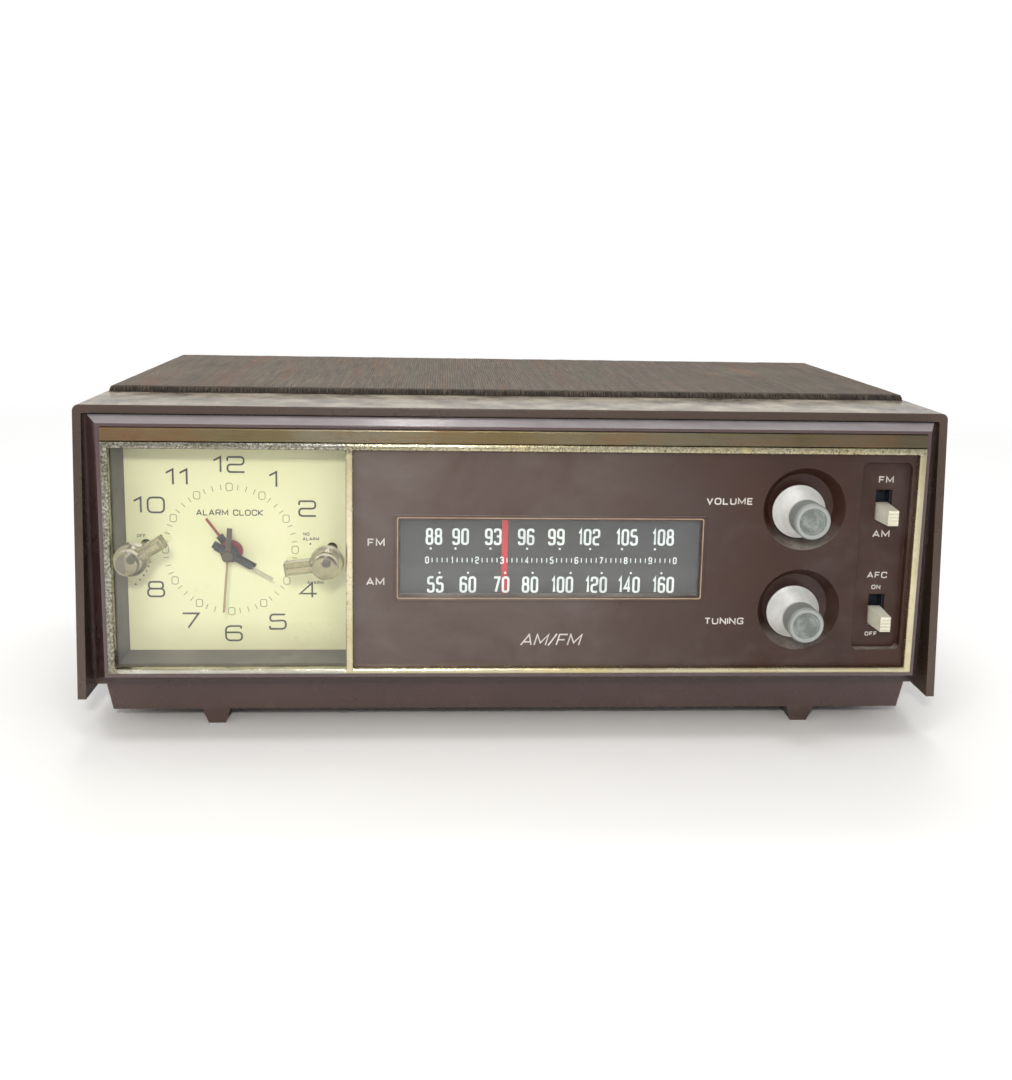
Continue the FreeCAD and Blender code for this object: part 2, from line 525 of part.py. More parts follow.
def circuitBoard():
    board = box(-14, 141, 50, 141, 30.0, 31.6)
    keep("circuit_board", board)
    cans = [(8, 62), (8, 84), (8, 106), (30, 118), (52, 118)]
    keep("coil_cans", *[box(x, x + 10, y, y + 10, 31.6, 45.6) for x, y in cans])
    tubes = [(80, 70, 5.0, 22.0), (96, 74, 6.0, 26.0), (114, 84, 8.0, 34.0), (80, 96, 4.0, 16.0)]
    keep("filter_capacitors", *[post(x, y, r, 31.6, 31.6 + h) for x, y, r, h in tubes])


def mainsTransformer():
    core = without(box(-84, -40, 100, 124, 8.8, 46.8), box(-77, -66, 99, 125, 16, 40),
                   box(-58, -47, 99, 125, 16, 40))
    winding = without(box(-76.7, -47.3, 92, 132, 16.3, 39.7), box(-66, -58, 99.9, 124.1, 10, 45))
    keep("mains_transformer", core, winding)


def aerial():
    rodShape = bar(143.5, 100.0, 4.0, -66, 66)
    coils = [without(bar(143.5, 100.0, 5.4, x, x + 22), bar(143.5, 100.0, 4.0, x - 1, x + 23))
             for x in (-58, 30)]
    keep("ferrite_aerial", rodShape, *coils)


def backCover():
    cover = box(-149.4, 149.4, 150.0, 152.4, 18.4, 114.4)
    holes = [rod(timeSetX, timeSetZ, 2.6, 140, 160), rod(alarmSetX, alarmSetZ, 2.6, 140, 160),
             rod(glandX, glandZ, 4.5, 140, 160)]
    holes += [rod(x, z, 1.7, 140, 160) for x, z in screwSpots]
    slots = [box(x, x + 3, 140, 160, 76, 92) for x in range(-36, 132, 8)]
    clips = [without(box(x, x + 5, 138, 150.0, 94.5, 105.5), bar(143.5, 100.0, 4.0, x - 1, x + 6))
             for x in (-65.5, 60.5)]
    keep("back_cover", joined(without(cover, *(holes + slots)), *clips))
    screws = []
    for x, z in screwSpots:
        head = turned(x, z, [(0, 152.4), (3.2, 152.4), (3.0, 153.6), (1.8, 154.4), (0, 154.5)])
        slot = box(x - 0.4, x + 0.4, 153.6, 156, z - 4, z + 4)
        screws.append(without(joined(head, rod(x, z, 1.7, 146.0, 152.4)), slot))
    keep("back_screws", *screws)
    gland = turned(glandX, glandZ, [(3.0, 148.4), (6.2, 148.4), (6.2, 150.0), (4.5, 150.0), (4.5, 152.4),
                                    (6.4, 152.4), (6.0, 154.6), (3.0, 155.2)])
    keep("cord_gland", gland)


def main():
    os.makedirs("parts", exist_ok=True)
    cabinetShell()
    basePan()
    frontBezel()
    trimFrame()
    controlPanel()
    clockSurround()
    clockMovement()
    clockHands()
    clockWheels()
    timeSetPhase = meshPhase(motionPhase, motionTeeth, timeSetAngle, pinionTeeth)
    settingKnob("time_set", timeSetX, timeSetZ, pinionTeeth, timeSetPhase, 10.8, 12.8)
    alarmSetPhase = meshPhase(0.0, alarmTeeth, alarmSetAngle, alarmSetTeeth)
    settingKnob("alarm_set", alarmSetX, alarmSetZ, alarmSetTeeth, alarmSetPhase, 6.0, 7.8)
    clearKnob("sleep", sleepKnob[0], sleepKnob[1], 59, 12.8)
    clearKnob("alarm_mode", alarmKnob[0], alarmKnob[1], 262, 14.0)
    metalKnob("volume", volumeZ)
    metalKnob("tuning", tuningZ)
    slideSwitch("band", bandZ)
    slideSwitch("afc", afcZ)
    keep("slide_switch_bodies", slideSwitchBody(bandZ), slideSwitchBody(afcZ))
    dialCord()
    tunerDrive()
    frontChassis()
    tuningCapacitor()
    speaker()
    grille()
    circuitBoard()
    mainsTransformer()
    aerial()
    backCover()
    for node in sorted(parts):
        shape = parts[node]
        shape.exportStep(os.path.join("parts", node + ".step"))
        print(node, len(shape.Solids), shape.isValid(), round(shape.Volume, 1))
    whole = Part.makeCompound(list(parts.values())).BoundBox
    print("nodes", len(parts), whole)


main()
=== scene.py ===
import bpy
import bmesh
import math
import random
import numpy as np
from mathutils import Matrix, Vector


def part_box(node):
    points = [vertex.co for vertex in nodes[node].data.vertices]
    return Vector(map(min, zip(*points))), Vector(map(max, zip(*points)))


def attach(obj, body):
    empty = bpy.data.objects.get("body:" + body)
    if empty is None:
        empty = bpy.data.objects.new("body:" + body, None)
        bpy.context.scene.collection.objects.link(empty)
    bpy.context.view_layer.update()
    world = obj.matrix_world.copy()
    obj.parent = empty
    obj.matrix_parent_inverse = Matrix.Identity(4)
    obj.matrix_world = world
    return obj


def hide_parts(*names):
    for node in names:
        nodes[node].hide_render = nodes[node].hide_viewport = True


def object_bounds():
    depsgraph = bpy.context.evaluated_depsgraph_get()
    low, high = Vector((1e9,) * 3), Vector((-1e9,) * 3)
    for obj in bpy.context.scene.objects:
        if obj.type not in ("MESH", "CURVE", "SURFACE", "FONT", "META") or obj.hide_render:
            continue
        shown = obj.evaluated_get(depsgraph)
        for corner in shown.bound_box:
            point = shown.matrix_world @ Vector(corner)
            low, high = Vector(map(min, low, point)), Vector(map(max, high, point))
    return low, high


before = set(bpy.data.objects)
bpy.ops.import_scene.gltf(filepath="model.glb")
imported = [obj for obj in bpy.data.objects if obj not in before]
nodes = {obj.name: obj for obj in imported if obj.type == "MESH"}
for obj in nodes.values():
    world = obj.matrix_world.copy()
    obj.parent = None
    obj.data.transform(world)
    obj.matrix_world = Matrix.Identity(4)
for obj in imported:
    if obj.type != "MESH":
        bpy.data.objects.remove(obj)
cadLow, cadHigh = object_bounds()
mm = 0.001
print("frame loaded,", len(nodes), "parts")


# camera, lights and floor

studio = {
    "cameraPlace": (-0.02692, -0.45436, 0.17386),
    "cameraTurn": (80.5993, -1.0814, -3.1037),   # degrees, XYZ
    "lens": 37.56,
    "shift": (0.0005, -0.1010),
    "roomLight": 0.66,
    "floorColour": (250, 249, 247),
    "floorWidth": 2.6,
    "floorFade": (0.34, 0.95),     # the floor melts into the white room between these distances
}

# name, place, where it points, width, height, watts, colour
lamps = [
    ("key_softbox", (-0.75, -0.95, 0.95), (0, 0, 0.06), 0.60, 0.60, 2.1, (255, 250, 243)),
    ("fill_softbox", (0.95, -0.70, 0.55), (0, 0, 0.06), 0.70, 0.50, 1.0, (247, 250, 255)),
    ("near_lamp", (-0.05, -0.54, 0.28), (0.0, -0.05, 0.07), 0.06, 0.04, 1.15, (255, 253, 248)),
    ("top_strip", (0.05, 0.55, 1.00), (0, 0, 0.10), 0.90, 0.35, 4.6, (255, 255, 255)),
    ("glint_panel", (-0.05, -0.34, 0.95), (0, -0.05, 0.10), 0.30, 0.22, 1.6, (252, 253, 255)),
]


def toLinear(colour):
    # the dictionaries hold colours as they look on a screen, 0 to 255
    out = []
    for part in colour:
        part = part / 255
        out.append(part / 12.92 if part <= 0.04045 else ((part + 0.055) / 1.055) ** 2.4)
    return (*out, 1.0)


def addToScene(name, data):
    thing = bpy.data.objects.new(name, data)
    bpy.context.scene.collection.objects.link(thing)
    return thing


def makeCamera():
    data = bpy.data.cameras.new("camera")
    data.lens = studio["lens"]
    data.shift_x, data.shift_y = studio["shift"]
    data.clip_start = 0.01
    data.dof.use_dof = False
    camera = addToScene("camera", data)
    camera.location = studio["cameraPlace"]
    camera.rotation_euler = [math.radians(turn) for turn in studio["cameraTurn"]]
    bpy.context.scene.camera = camera


def makeLamps():
    for name, place, target, wide, tall, watts, colour in lamps:
        data = bpy.data.lights.new(name, "AREA")
        data.shape = "RECTANGLE"
        data.size = wide
        data.size_y = tall
        data.energy = watts
        data.color = toLinear(colour)[:3]
        lamp = addToScene(name, data)
        lamp.location = place
        aim = Vector(target) - Vector(place)
        lamp.rotation_euler = aim.to_track_quat("-Z", "Y").to_euler()


def makeRoom():
    world = bpy.data.worlds.new("room")
    world.use_nodes = True
    tree = world.node_tree
    tree.nodes.clear()
    sky = tree.nodes.new("ShaderNodeBackground")
    sky.inputs["Color"].default_value = (1, 1, 1, 1)
    sky.inputs["Strength"].default_value = studio["roomLight"]
    behind = tree.nodes.new("ShaderNodeBackground")      # what is seen past the floor
    behind.inputs["Color"].default_value = (1, 1, 1, 1)
    ray = tree.nodes.new("ShaderNodeLightPath")
    pick = tree.nodes.new("ShaderNodeMixShader")
    sink = tree.nodes.new("ShaderNodeOutputWorld")
    tree.links.new(ray.outputs["Is Camera Ray"], pick.inputs["Fac"])
    tree.links.new(sky.outputs["Background"], pick.inputs[1])
    tree.links.new(behind.outputs["Background"], pick.inputs[2])
    tree.links.new(pick.outputs["Shader"], sink.inputs["Surface"])
    bpy.context.scene.world = world
    bpy.context.scene.view_settings.view_transform = "Standard"


def showMesh(name, data, material):
    data.materials.append(material)
    return addToScene(name, data)


def meshPiece(name, points, faces, material, smooth=False):
    data = bpy.data.meshes.new(name)
    data.from_pydata([tuple(p) for p in points], [], faces)
    if smooth:
        data.shade_smooth()
    return showMesh(name, data, material)


# shader groups shared by the finishes

filling = {"tree": None}     # the node tree that the helpers below add to


def addNode(kind):
    return filling["tree"].nodes.new("ShaderNode" + kind)


def join(value, socket):
    filling["tree"].links.new(value, socket)


def wire(node, name, value):
    # the value is a socket to join, a constant to set, or a screen colour
    socket = node.inputs[int(name[1:])] if name[0] == "i" and name[1:].isdigit() else node.inputs[name]
    if isinstance(value, bpy.types.NodeSocket):
        join(value, socket)
    elif socket.type == "RGBA" and len(value) == 3:
        socket.default_value = toLinear(value)
    else:
        socket.default_value = value


def place(kind, settings=None, **values):
    node = addNode(kind)
    for name, value in (settings or {}).items():
        setattr(node, name, value)
    for name, value in values.items():
        wire(node, name.replace("_", " "), value)
    return node


def newGroup(name, inputs, outputs):
    tree = bpy.data.node_groups.new(name, "ShaderNodeTree")
    for label, kind, value in inputs:
        socket = tree.interface.new_socket(name=label, in_out="INPUT", socket_type="NodeSocket" + kind)
        socket.default_value = value
    for label, kind in outputs:
        tree.interface.new_socket(name=label, in_out="OUTPUT", socket_type="NodeSocket" + kind)
    filling["tree"] = tree
    return tree, tree.nodes.new("NodeGroupInput").outputs, tree.nodes.new("NodeGroupOutput").inputs


def maths(operation, first, second=0.0, clamp=False):
    return place("Math", {"operation": operation, "use_clamp": clamp}, i0=first, i1=second).outputs[0]


def plus(first, second, clamp=False):
    return maths("ADD", first, second, clamp)


def minus(first, second, clamp=False):
    return maths("SUBTRACT", first, second, clamp)


def times(first, second, clamp=False):
    return maths("MULTIPLY", first, second, clamp)


def vectorMaths(operation, first, second=(0, 0, 0)):
    node = place("VectorMath", {"operation": operation}, i0=first, i1=second)
    return node.outputs["Value"] if operation in ("LENGTH", "DOT_PRODUCT") else node.outputs["Vector"]


def ranged(value, low, high, outLow=0.0, outHigh=1.0, kind="LINEAR"):
    return place("MapRange", {"interpolation_type": kind, "clamp": True}, Value=value, From_Min=low,
                 From_Max=high, To_Min=outLow, To_Max=outHigh).outputs["Result"]


def blendColour(amount, first, second):
    return place("Mix", {"data_type": "RGBA"}, i0=amount, i6=first, i7=second).outputs[2]


def objectPlace():
    return addNode("TexCoord").outputs["Object"]


def splitPlace():
    return place("SeparateXYZ", None, Vector=objectPlace()).outputs


def facing():
    return addNode("NewGeometry").outputs["Normal"]


def noise(vector, scale, detail=3.0, rough=0.5, distortion=0.0):
    return place("TexNoise", None, Vector=vector, Scale=scale, Detail=detail, Roughness=rough,
                 Distortion=distortion).outputs["Fac"]


def useGroup(group, **values):
    node = addNode("Group")
    node.node_tree = group
    for name, value in values.items():
        wire(node, name.replace("_", " "), value)
    return node.outputs


def makeMouldedGrain():
    group, given, out = newGroup("moulded grain",
        [("Scale", "Float", 2500.0), ("Low Roughness", "Float", 0.3), ("High Roughness", "Float", 0.5)],
        [("Height", "Float"), ("Roughness", "Float")])
    spot = objectPlace()
    fine = noise(spot, given["Scale"], 2.0, 0.6)
    broad = noise(spot, 55.0, 4.0, 0.6)
    join(fine, out["Height"])
    join(ranged(broad, 0.20, 0.80, given["Low Roughness"], given["High Roughness"], "SMOOTHSTEP"),
         out["Roughness"])
    return group


def makeColourDrift():
    group, given, out = newGroup("colour drift",
        [("First", "Color", (1, 1, 1, 1)), ("Second", "Color", (0, 0, 0, 1)), ("Scale", "Float", 30.0)],
        [("Colour", "Color")])
    cloud = noise(objectPlace(), given["Scale"], 5.0, 0.62, 0.4)
    amount = ranged(cloud, 0.24, 0.78, 0.0, 1.0, "SMOOTHSTEP")
    join(blendColour(amount, given["First"], given["Second"]), out["Colour"])
    return group


def makeHandlingHaze():
    # greasy grey patches that hands and old polish leave
    group, given, out = newGroup("handling haze",
        [("Stretch", "Vector", (1.0, 1.0, 1.0)), ("Scale", "Float", 16.0), ("Cover", "Float", 0.4)],
        [("Mask", "Float")])
    spot = vectorMaths("MULTIPLY", objectPlace(), given["Stretch"])
    cloud = noise(spot, given["Scale"], 5.0, 0.62, 0.6)
    streak = noise(spot, times(given["Scale"], 7.0), 3.0, 0.6)
    both = plus(cloud, times(minus(streak, 0.5), 0.35))
    start = minus(0.80, times(given["Cover"], 0.6))
    join(ranged(both, start, plus(start, 0.28), 0.0, 1.0, "SMOOTHSTEP"), out["Mask"])
    return group


def makeEdgeWear():
    # Mask is bright where two faces meet, Normal rounds that meeting off a little
    group, given, out = newGroup("edge wear",
        [("Radius", "Float", 0.0006), ("Reach", "Float", 0.25), ("Break Up", "Float", 0.5)],
        [("Mask", "Float"), ("Normal", "Vector")])
    rounded = place("Bevel", {"samples": 6}, Radius=given["Radius"]).outputs["Normal"]
    flat = facing()
    lean = minus(1.0, vectorMaths("DOT_PRODUCT", rounded, flat))
    edge = ranged(lean, 0.04, given["Reach"])
    patch = ranged(noise(objectPlace(), 420.0, 4.0, 0.65), 0.42, 0.60)
    gap = minus(1.0, times(given["Break Up"], minus(1.0, patch)))
    join(times(edge, gap, True), out["Mask"])
    join(rounded, out["Normal"])
    return group


def makeStainSpecks():
    group, given, out = newGroup("stain specks",
        [("Scale", "Float", 400.0), ("Size", "Float", 0.3), ("Cover", "Float", 0.5),
         ("Patch Scale", "Float", 40.0)],
        [("Mask", "Float")])
    spot = objectPlace()
    wobble = place("TexNoise", None, Vector=spot, Scale=times(given["Scale"], 1.7))
    shifted = vectorMaths("ADD", spot, vectorMaths("MULTIPLY", wobble.outputs["Color"],
                                                   (0.0012, 0.0012, 0.0012)))
    cell = place("TexVoronoi", None, Vector=shifted, Scale=given["Scale"])
    size = times(given["Size"], cell.outputs["Color"])
    dot = maths("LESS_THAN", cell.outputs["Distance"], size)
    edge = minus(0.78, times(given["Cover"], 0.55))
    patch = ranged(noise(spot, given["Patch Scale"], 4.0, 0.6), edge, plus(edge, 0.12))
    join(times(dot, patch), out["Mask"])
    return group


def makeBrushedLines():
    group, given, out = newGroup("brushed lines",
        [("Stretch", "Vector", (0.02, 1.0, 1.0)), ("Scale", "Float", 4000.0)],
        [("Height", "Float"), ("Mask", "Float")])
    spot = vectorMaths("MULTIPLY", objectPlace(), given["Stretch"])
    fine = noise(spot, given["Scale"], 3.0, 0.7)
    join(fine, out["Height"])
    join(ranged(fine, 0.35, 0.65), out["Mask"])
    return group


def makeRoundFrom():
    # distance from an axis that runs front to back, and rings about it
    group, given, out = newGroup("round from axis",
        [("Centre", "Vector", (0.0, 0.0, 0.0)), ("Ring Scale", "Float", 3000.0)],
        [("Distance", "Float"), ("Rings", "Float")])
    away = vectorMaths("SUBTRACT", objectPlace(), given["Centre"])
    flat = vectorMaths("MULTIPLY", away, (1.0, 0.0, 1.0))
    far = vectorMaths("LENGTH", flat)
    line = place("TexNoise", {"noise_dimensions": "1D"}, W=far, Scale=given["Ring Scale"], Detail=3.0)
    join(far, out["Distance"])
    join(line.outputs["Fac"], out["Rings"])
    return group


def makeDustAndSheen():
    # lightens up-facing faces: real dust on most parts, a painted sheen on the shell, bezel and panel
    group, given, out = newGroup("dust and painted sheen",
        [("Scale", "Float", 60.0), ("Amount", "Float", 0.4), ("Patchy", "Float", 1.0)],
        [("Mask", "Float")])
    up = place("SeparateXYZ", None, Vector=facing()).outputs["Z"]
    faceUp = ranged(up, 0.35, 0.95)
    cloud = ranged(noise(objectPlace(), given["Scale"], 6.0, 0.7), 0.35, 0.70)
    grit = ranged(noise(objectPlace(), 2600.0, 2.0, 0.5), 0.45, 0.70)
    soft = plus(times(cloud, 0.75), times(grit, 0.25))
    evenly = times(minus(1.0, given["Patchy"]), 0.55)
    soft = plus(times(soft, given["Patchy"]), evenly)
    join(times(times(faceUp, soft), given["Amount"], True), out["Mask"])
    return group


def makeCordedWeave():
    # warp cords run front to back, the thin weft crosses them
    group, given, out = newGroup("corded weave",
        [("Cord Pitch", "Float", 0.00098), ("Weft Pitch", "Float", 0.0007)],
        [("Height", "Float"), ("Cord Shade", "Float"), ("Tint", "Float"), ("Valley Shade", "Float")])
    spot = objectPlace()
    axis = place("SeparateXYZ", None, Vector=spot).outputs
    drift = times(minus(noise(spot, 35.0, 2.0), 0.5), 0.0012)
    across = maths("DIVIDE", plus(axis["X"], drift), given["Cord Pitch"])
    along = maths("DIVIDE", axis["Y"], given["Weft Pitch"])
    number = maths("FLOOR", across)
    cord = maths("SINE", times(across, 2 * math.pi))
    shiftRow = times(maths("MODULO", number, 2.0), math.pi)
    weft = maths("SINE", plus(times(along, 2 * math.pi), shiftRow))
    join(plus(times(cord, 0.5), times(weft, 0.35)), out["Height"])
    # the low valleys between cords, used for painted shade
    join(ranged(plus(cord, times(weft, 0.6)), -1.3, -0.2, 1.0, 0.0), out["Valley Shade"])
    long = place("CombineXYZ", None, X=number, Y=times(axis["Y"], 22.0))
    join(noise(long.outputs["Vector"], 1.35, 3.0, 0.7), out["Cord Shade"])
    band = vectorMaths("MULTIPLY", spot, (1.0, 0.10, 1.0))
    join(noise(band, 130.0, 4.0, 0.65), out["Tint"])
    return group


makeCamera()
makeLamps()
makeRoom()
print("camera, lamps and room ready")

mouldedGrain = makeMouldedGrain()
colourDrift = makeColourDrift()
handlingHaze = makeHandlingHaze()
edgeWear = makeEdgeWear()
stainSpecks = makeStainSpecks()
brushedLines = makeBrushedLines()
roundFrom = makeRoundFrom()
dustAndSheenGroup = makeDustAndSheen()
cordedWeave = makeCordedWeave()


def drifting(first, second, scale):
    return useGroup(colourDrift, First=first, Second=second, Scale=scale)["Colour"]


def mouldedSurface(scale, low, high):
    return useGroup(mouldedGrain, Scale=scale, Low_Roughness=low, High_Roughness=high)


def startMaterial(name, **constants):
    material = bpy.data.materials.new(name)
    material.use_nodes = True
    filling["tree"] = material.node_tree
    shader = material.node_tree.nodes["Principled BSDF"]
    for label, value in constants.items():
        wire(shader, label.replace("_", " "), value)
    return material, shader


def surface(shader, colour, rough, height, strength, distance, normal=None):
    wire(shader, "Base Color", colour)
    wire(shader, "Roughness", rough)
    bump = place("Bump", None, Strength=strength, Distance=distance, Height=height)
    if normal is not None:
        wire(bump, "Normal", normal)
    wire(shader, "Normal", bump.outputs["Normal"])


# moulded plastics

# what a plastic has unless its own dictionary says otherwise
usualPlastic = {
    "hazeCover": 0.40, "hazeAmount": 0.30, "hazeStretch": (1.0, 1.0, 1.0), "wearAmount": 0.30,
    "edge": 0.0005, "dustAndSheenAmount": 0.30, "patchy": 1.00, "coat": 0.0, "coatRough": 0.03, "shine": 0.40,
}
brownShell = {
    "colour": (76, 60, 51), "drift": (66, 52, 44), "driftScale": 14.0, "haze": (128, 118, 106),
    "hazeCover": 0.30, "hazeAmount": 0.20, "hazeStretch": (0.5, 1.0, 1.0), "wear": (132, 116, 98),
    # the up-facing colour here is mostly a painted reflection on the top front strip, with a little real
    # dust
    "wearAmount": 0.35, "edge": 0.0007, "dustAndSheen": (226, 214, 190), "dustAndSheenAmount": 0.80,
    "rough": (0.20, 0.34), "grain": 2600.0, "grainDepth": 0.05, "coat": 0.40, "coatRough": 0.12,
    "shine": 0.35,
}
purpleBezel = {
    "colour": (78, 56, 56), "drift": (66, 47, 49), "driftScale": 22.0, "haze": (132, 118, 122),
    "hazeCover": 0.34, "hazeAmount": 0.22, "hazeStretch": (0.4, 1.0, 1.0), "wear": (150, 130, 126),
    # the up-facing colour here is a painted highlight along the bezel's top flank
    "edge": 0.0006, "dustAndSheen": (214, 208, 214), "dustAndSheenAmount": 0.85, "patchy": 0.25, "rough": (0.14, 0.24),
    "grain": 2600.0, "grainDepth": 0.02, "coat": 0.90, "coatRough": 0.07, "shine": 0.45,
}
chocolatePanel = {
    "colour": (62, 39, 31), "drift": (52, 34, 28), "driftScale": 26.0, "haze": (122, 114, 112),
    "hazeCover": 0.46, "hazeAmount": 0.16, "hazeStretch": (0.8, 1.0, 1.0), "paleVeil": (130, 120, 116),
    "paleVeilFrom": 0.09, "paleVeilTo": -0.02, "paleVeilAmount": 0.50, "wear": (120, 104, 94), "wearAmount": 0.22,
    # the up-facing colour here is painted light on the lower lips of the knob wells
    "edge": 0.0004, "dustAndSheen": (196, 190, 180), "dustAndSheenAmount": 0.75, "rough": (0.26, 0.42), "grain": 3400.0,
    "grainDepth": 0.05, "coatRough": 0.15, "shine": 0.30,
}
basePlastic = {
    "colour": (80, 61, 57), "drift": (70, 53, 50), "driftScale": 18.0, "haze": (132, 118, 110),
    "hazeCover": 0.34, "hazeAmount": 0.20, "hazeStretch": (0.4, 1.0, 1.0), "wear": (160, 142, 130),
    "wearAmount": 0.45, "edge": 0.0007, "dustAndSheen": (150, 140, 130), "dustAndSheenAmount": 0.25,
    "rough": (0.20, 0.34), "grain": 2600.0, "grainDepth": 0.04, "coat": 0.30, "coatRough": 0.12,
    "shine": 0.35,
}
footRubber = {
    "colour": (82, 64, 58), "drift": (66, 52, 48), "driftScale": 60.0, "haze": (132, 124, 116),
    "hazeCover": 0.50, "hazeAmount": 0.40, "wear": (140, 126, 116), "wearAmount": 0.50,
    "dustAndSheen": (150, 140, 130), "dustAndSheenAmount": 0.20, "rough": (0.38, 0.60), "grain": 2200.0,
    "grainDepth": 0.20,
}
recessGrey = {
    "colour": (89, 84, 84), "drift": (72, 67, 68), "driftScale": 45.0, "haze": (132, 128, 122),
    "hazeCover": 0.50, "hazeAmount": 0.40, "hazeStretch": (1.0, 1.0, 0.4), "wear": (150, 146, 140),
    "edge": 0.0004, "dustAndSheen": (170, 164, 150), "dustAndSheenAmount": 0.50, "rough": (0.40, 0.62), "grain": 2800.0,
    "grainDepth": 0.15,
}
backBlack = {
    "colour": (46, 42, 41), "drift": (36, 33, 33), "driftScale": 24.0, "haze": (92, 86, 82),
    "hazeAmount": 0.35, "wear": (110, 104, 98), "wearAmount": 0.45, "dustAndSheen": (140, 132, 122),
    "dustAndSheenAmount": 0.45, "rough": (0.40, 0.62), "grain": 1700.0, "grainDepth": 0.30,
}
rearKnobBlack = {
    "colour": (38, 36, 36), "drift": (28, 27, 28), "driftScale": 90.0, "haze": (96, 92, 88),
    "hazeCover": 0.42, "hazeAmount": 0.35, "wear": (120, 114, 108), "wearAmount": 0.50, "edge": 0.0003,
    "dustAndSheen": (140, 132, 122), "rough": (0.25, 0.42), "grain": 3000.0, "grainDepth": 0.10,
}
ivoryButton = {
    "colour": (226, 222, 206), "drift": (206, 200, 180), "driftScale": 160.0, "haze": (150, 144, 130),
    "hazeCover": 0.42, "hazeAmount": 0.45, "wear": (244, 242, 232), "wearAmount": 0.40, "edge": 0.0002,
    "dustAndSheen": (150, 142, 128), "rough": (0.28, 0.45), "grain": 4000.0, "grainDepth": 0.06,
}
drumIvory = {
    "colour": (214, 206, 184), "drift": (196, 186, 160), "driftScale": 60.0, "haze": (150, 142, 124),
    "wear": (236, 230, 214), "edge": 0.0002, "dustAndSheen": (150, 142, 128), "dustAndSheenAmount": 0.40,
    "rough": (0.35, 0.50), "grain": 3000.0, "grainDepth": 0.08,
}
switchBodyBlack = {
    "colour": (40, 38, 40), "drift": (30, 29, 30), "driftScale": 70.0, "haze": (84, 82, 80),
    "wear": (96, 92, 90), "edge": 0.0003, "dustAndSheen": (120, 114, 106), "dustAndSheenAmount": 0.50,
    "rough": (0.40, 0.60), "grain": 2500.0, "grainDepth": 0.15,
}
slideSwitchBlack = {
    "colour": (34, 44, 54), "drift": (26, 34, 42), "driftScale": 90.0, "haze": (70, 80, 88),
    "hazeAmount": 0.25, "wear": (90, 96, 100), "edge": 0.0002, "dustAndSheen": (120, 114, 106),
    "rough": (0.30, 0.48), "grain": 2500.0, "grainDepth": 0.10,
}


def makePlastic(name, look):
    look = {**usualPlastic, **look}
    material, shader = startMaterial(name)
    base = drifting(look["colour"], look["drift"], look["driftScale"])
    haze = useGroup(handlingHaze, Stretch=look["hazeStretch"], Cover=look["hazeCover"])["Mask"]
    hazed = times(haze, look["hazeAmount"])
    colour = blendColour(hazed, base, look["haze"])
    if "paleVeil" in look:      # a pale veil, stronger towards the left
        side = splitPlace()["X"]
        thick = ranged(side, look["paleVeilFrom"], look["paleVeilTo"])
        cloud = ranged(noise(objectPlace(), 26.0, 5.0, 0.6, 0.5), 0.28, 0.68, 0.35, 1.0)
        paleVeil = times(times(thick, cloud), look["paleVeilAmount"])
        colour = blendColour(paleVeil, colour, look["paleVeil"])
    edges = useGroup(edgeWear, Radius=look["edge"])
    worn = times(edges["Mask"], look["wearAmount"])
    colour = blendColour(worn, colour, look["wear"])
    # up-facing faces lighter: real dust, and on the shell, bezel and panel a painted sheen
    dustAndSheen = useGroup(dustAndSheenGroup, Amount=look["dustAndSheenAmount"], Patchy=look["patchy"])["Mask"]
    colour = blendColour(dustAndSheen, colour, look["dustAndSheen"])
    grain = mouldedSurface(look["grain"], *look["rough"])
    duller = plus(grain["Roughness"], times(hazed, 0.25))
    surface(shader, colour, plus(duller, times(dustAndSheen, 0.4), True), grain["Height"], look["grainDepth"],
            0.0004, edges["Normal"])
    wire(shader, "Specular IOR Level", look["shine"])
    wire(shader, "Coat Weight", look["coat"])
    wire(shader, "Coat Roughness", look["coatRough"])
    return material


plasticParts = [
    ("brown shell plastic", brownShell, ["cabinet_shell"]),
    ("brown base plastic", basePlastic, ["base_pan"]),
    ("foot rubber", footRubber, ["feet"]),
    ("purple brown bezel plastic", purpleBezel, ["front_bezel"]),
    ("chocolate panel plastic", chocolatePanel, ["control_panel"]),
    ("grey recess plastic", recessGrey, ["clock_surround"]),
    ("black back moulding", backBlack, ["back_cover", "cord_gland"]),
    ("black rear knob plastic", rearKnobBlack, ["time_set_knob", "alarm_set_knob"]),
    ("ivory button plastic", ivoryButton, ["band_switch_button", "afc_switch_button"]),
    ("ivory drum plastic", drumIvory, ["dial_drum", "idler_left", "idler_right"]),
    ("black switch bakelite", switchBodyBlack, ["clock_switch_bodies"]),
    ("blue black switch plate", slideSwitchBlack, ["slide_switch_bodies"]),
    ("capacitor sleeve", switchBodyBlack, ["filter_capacitors"]),
]
plastics = {}
for name, look, parts in plasticParts:
    for part in parts:
        plastics[part] = makePlastic(name, look)
print("plastics ready")


# metals

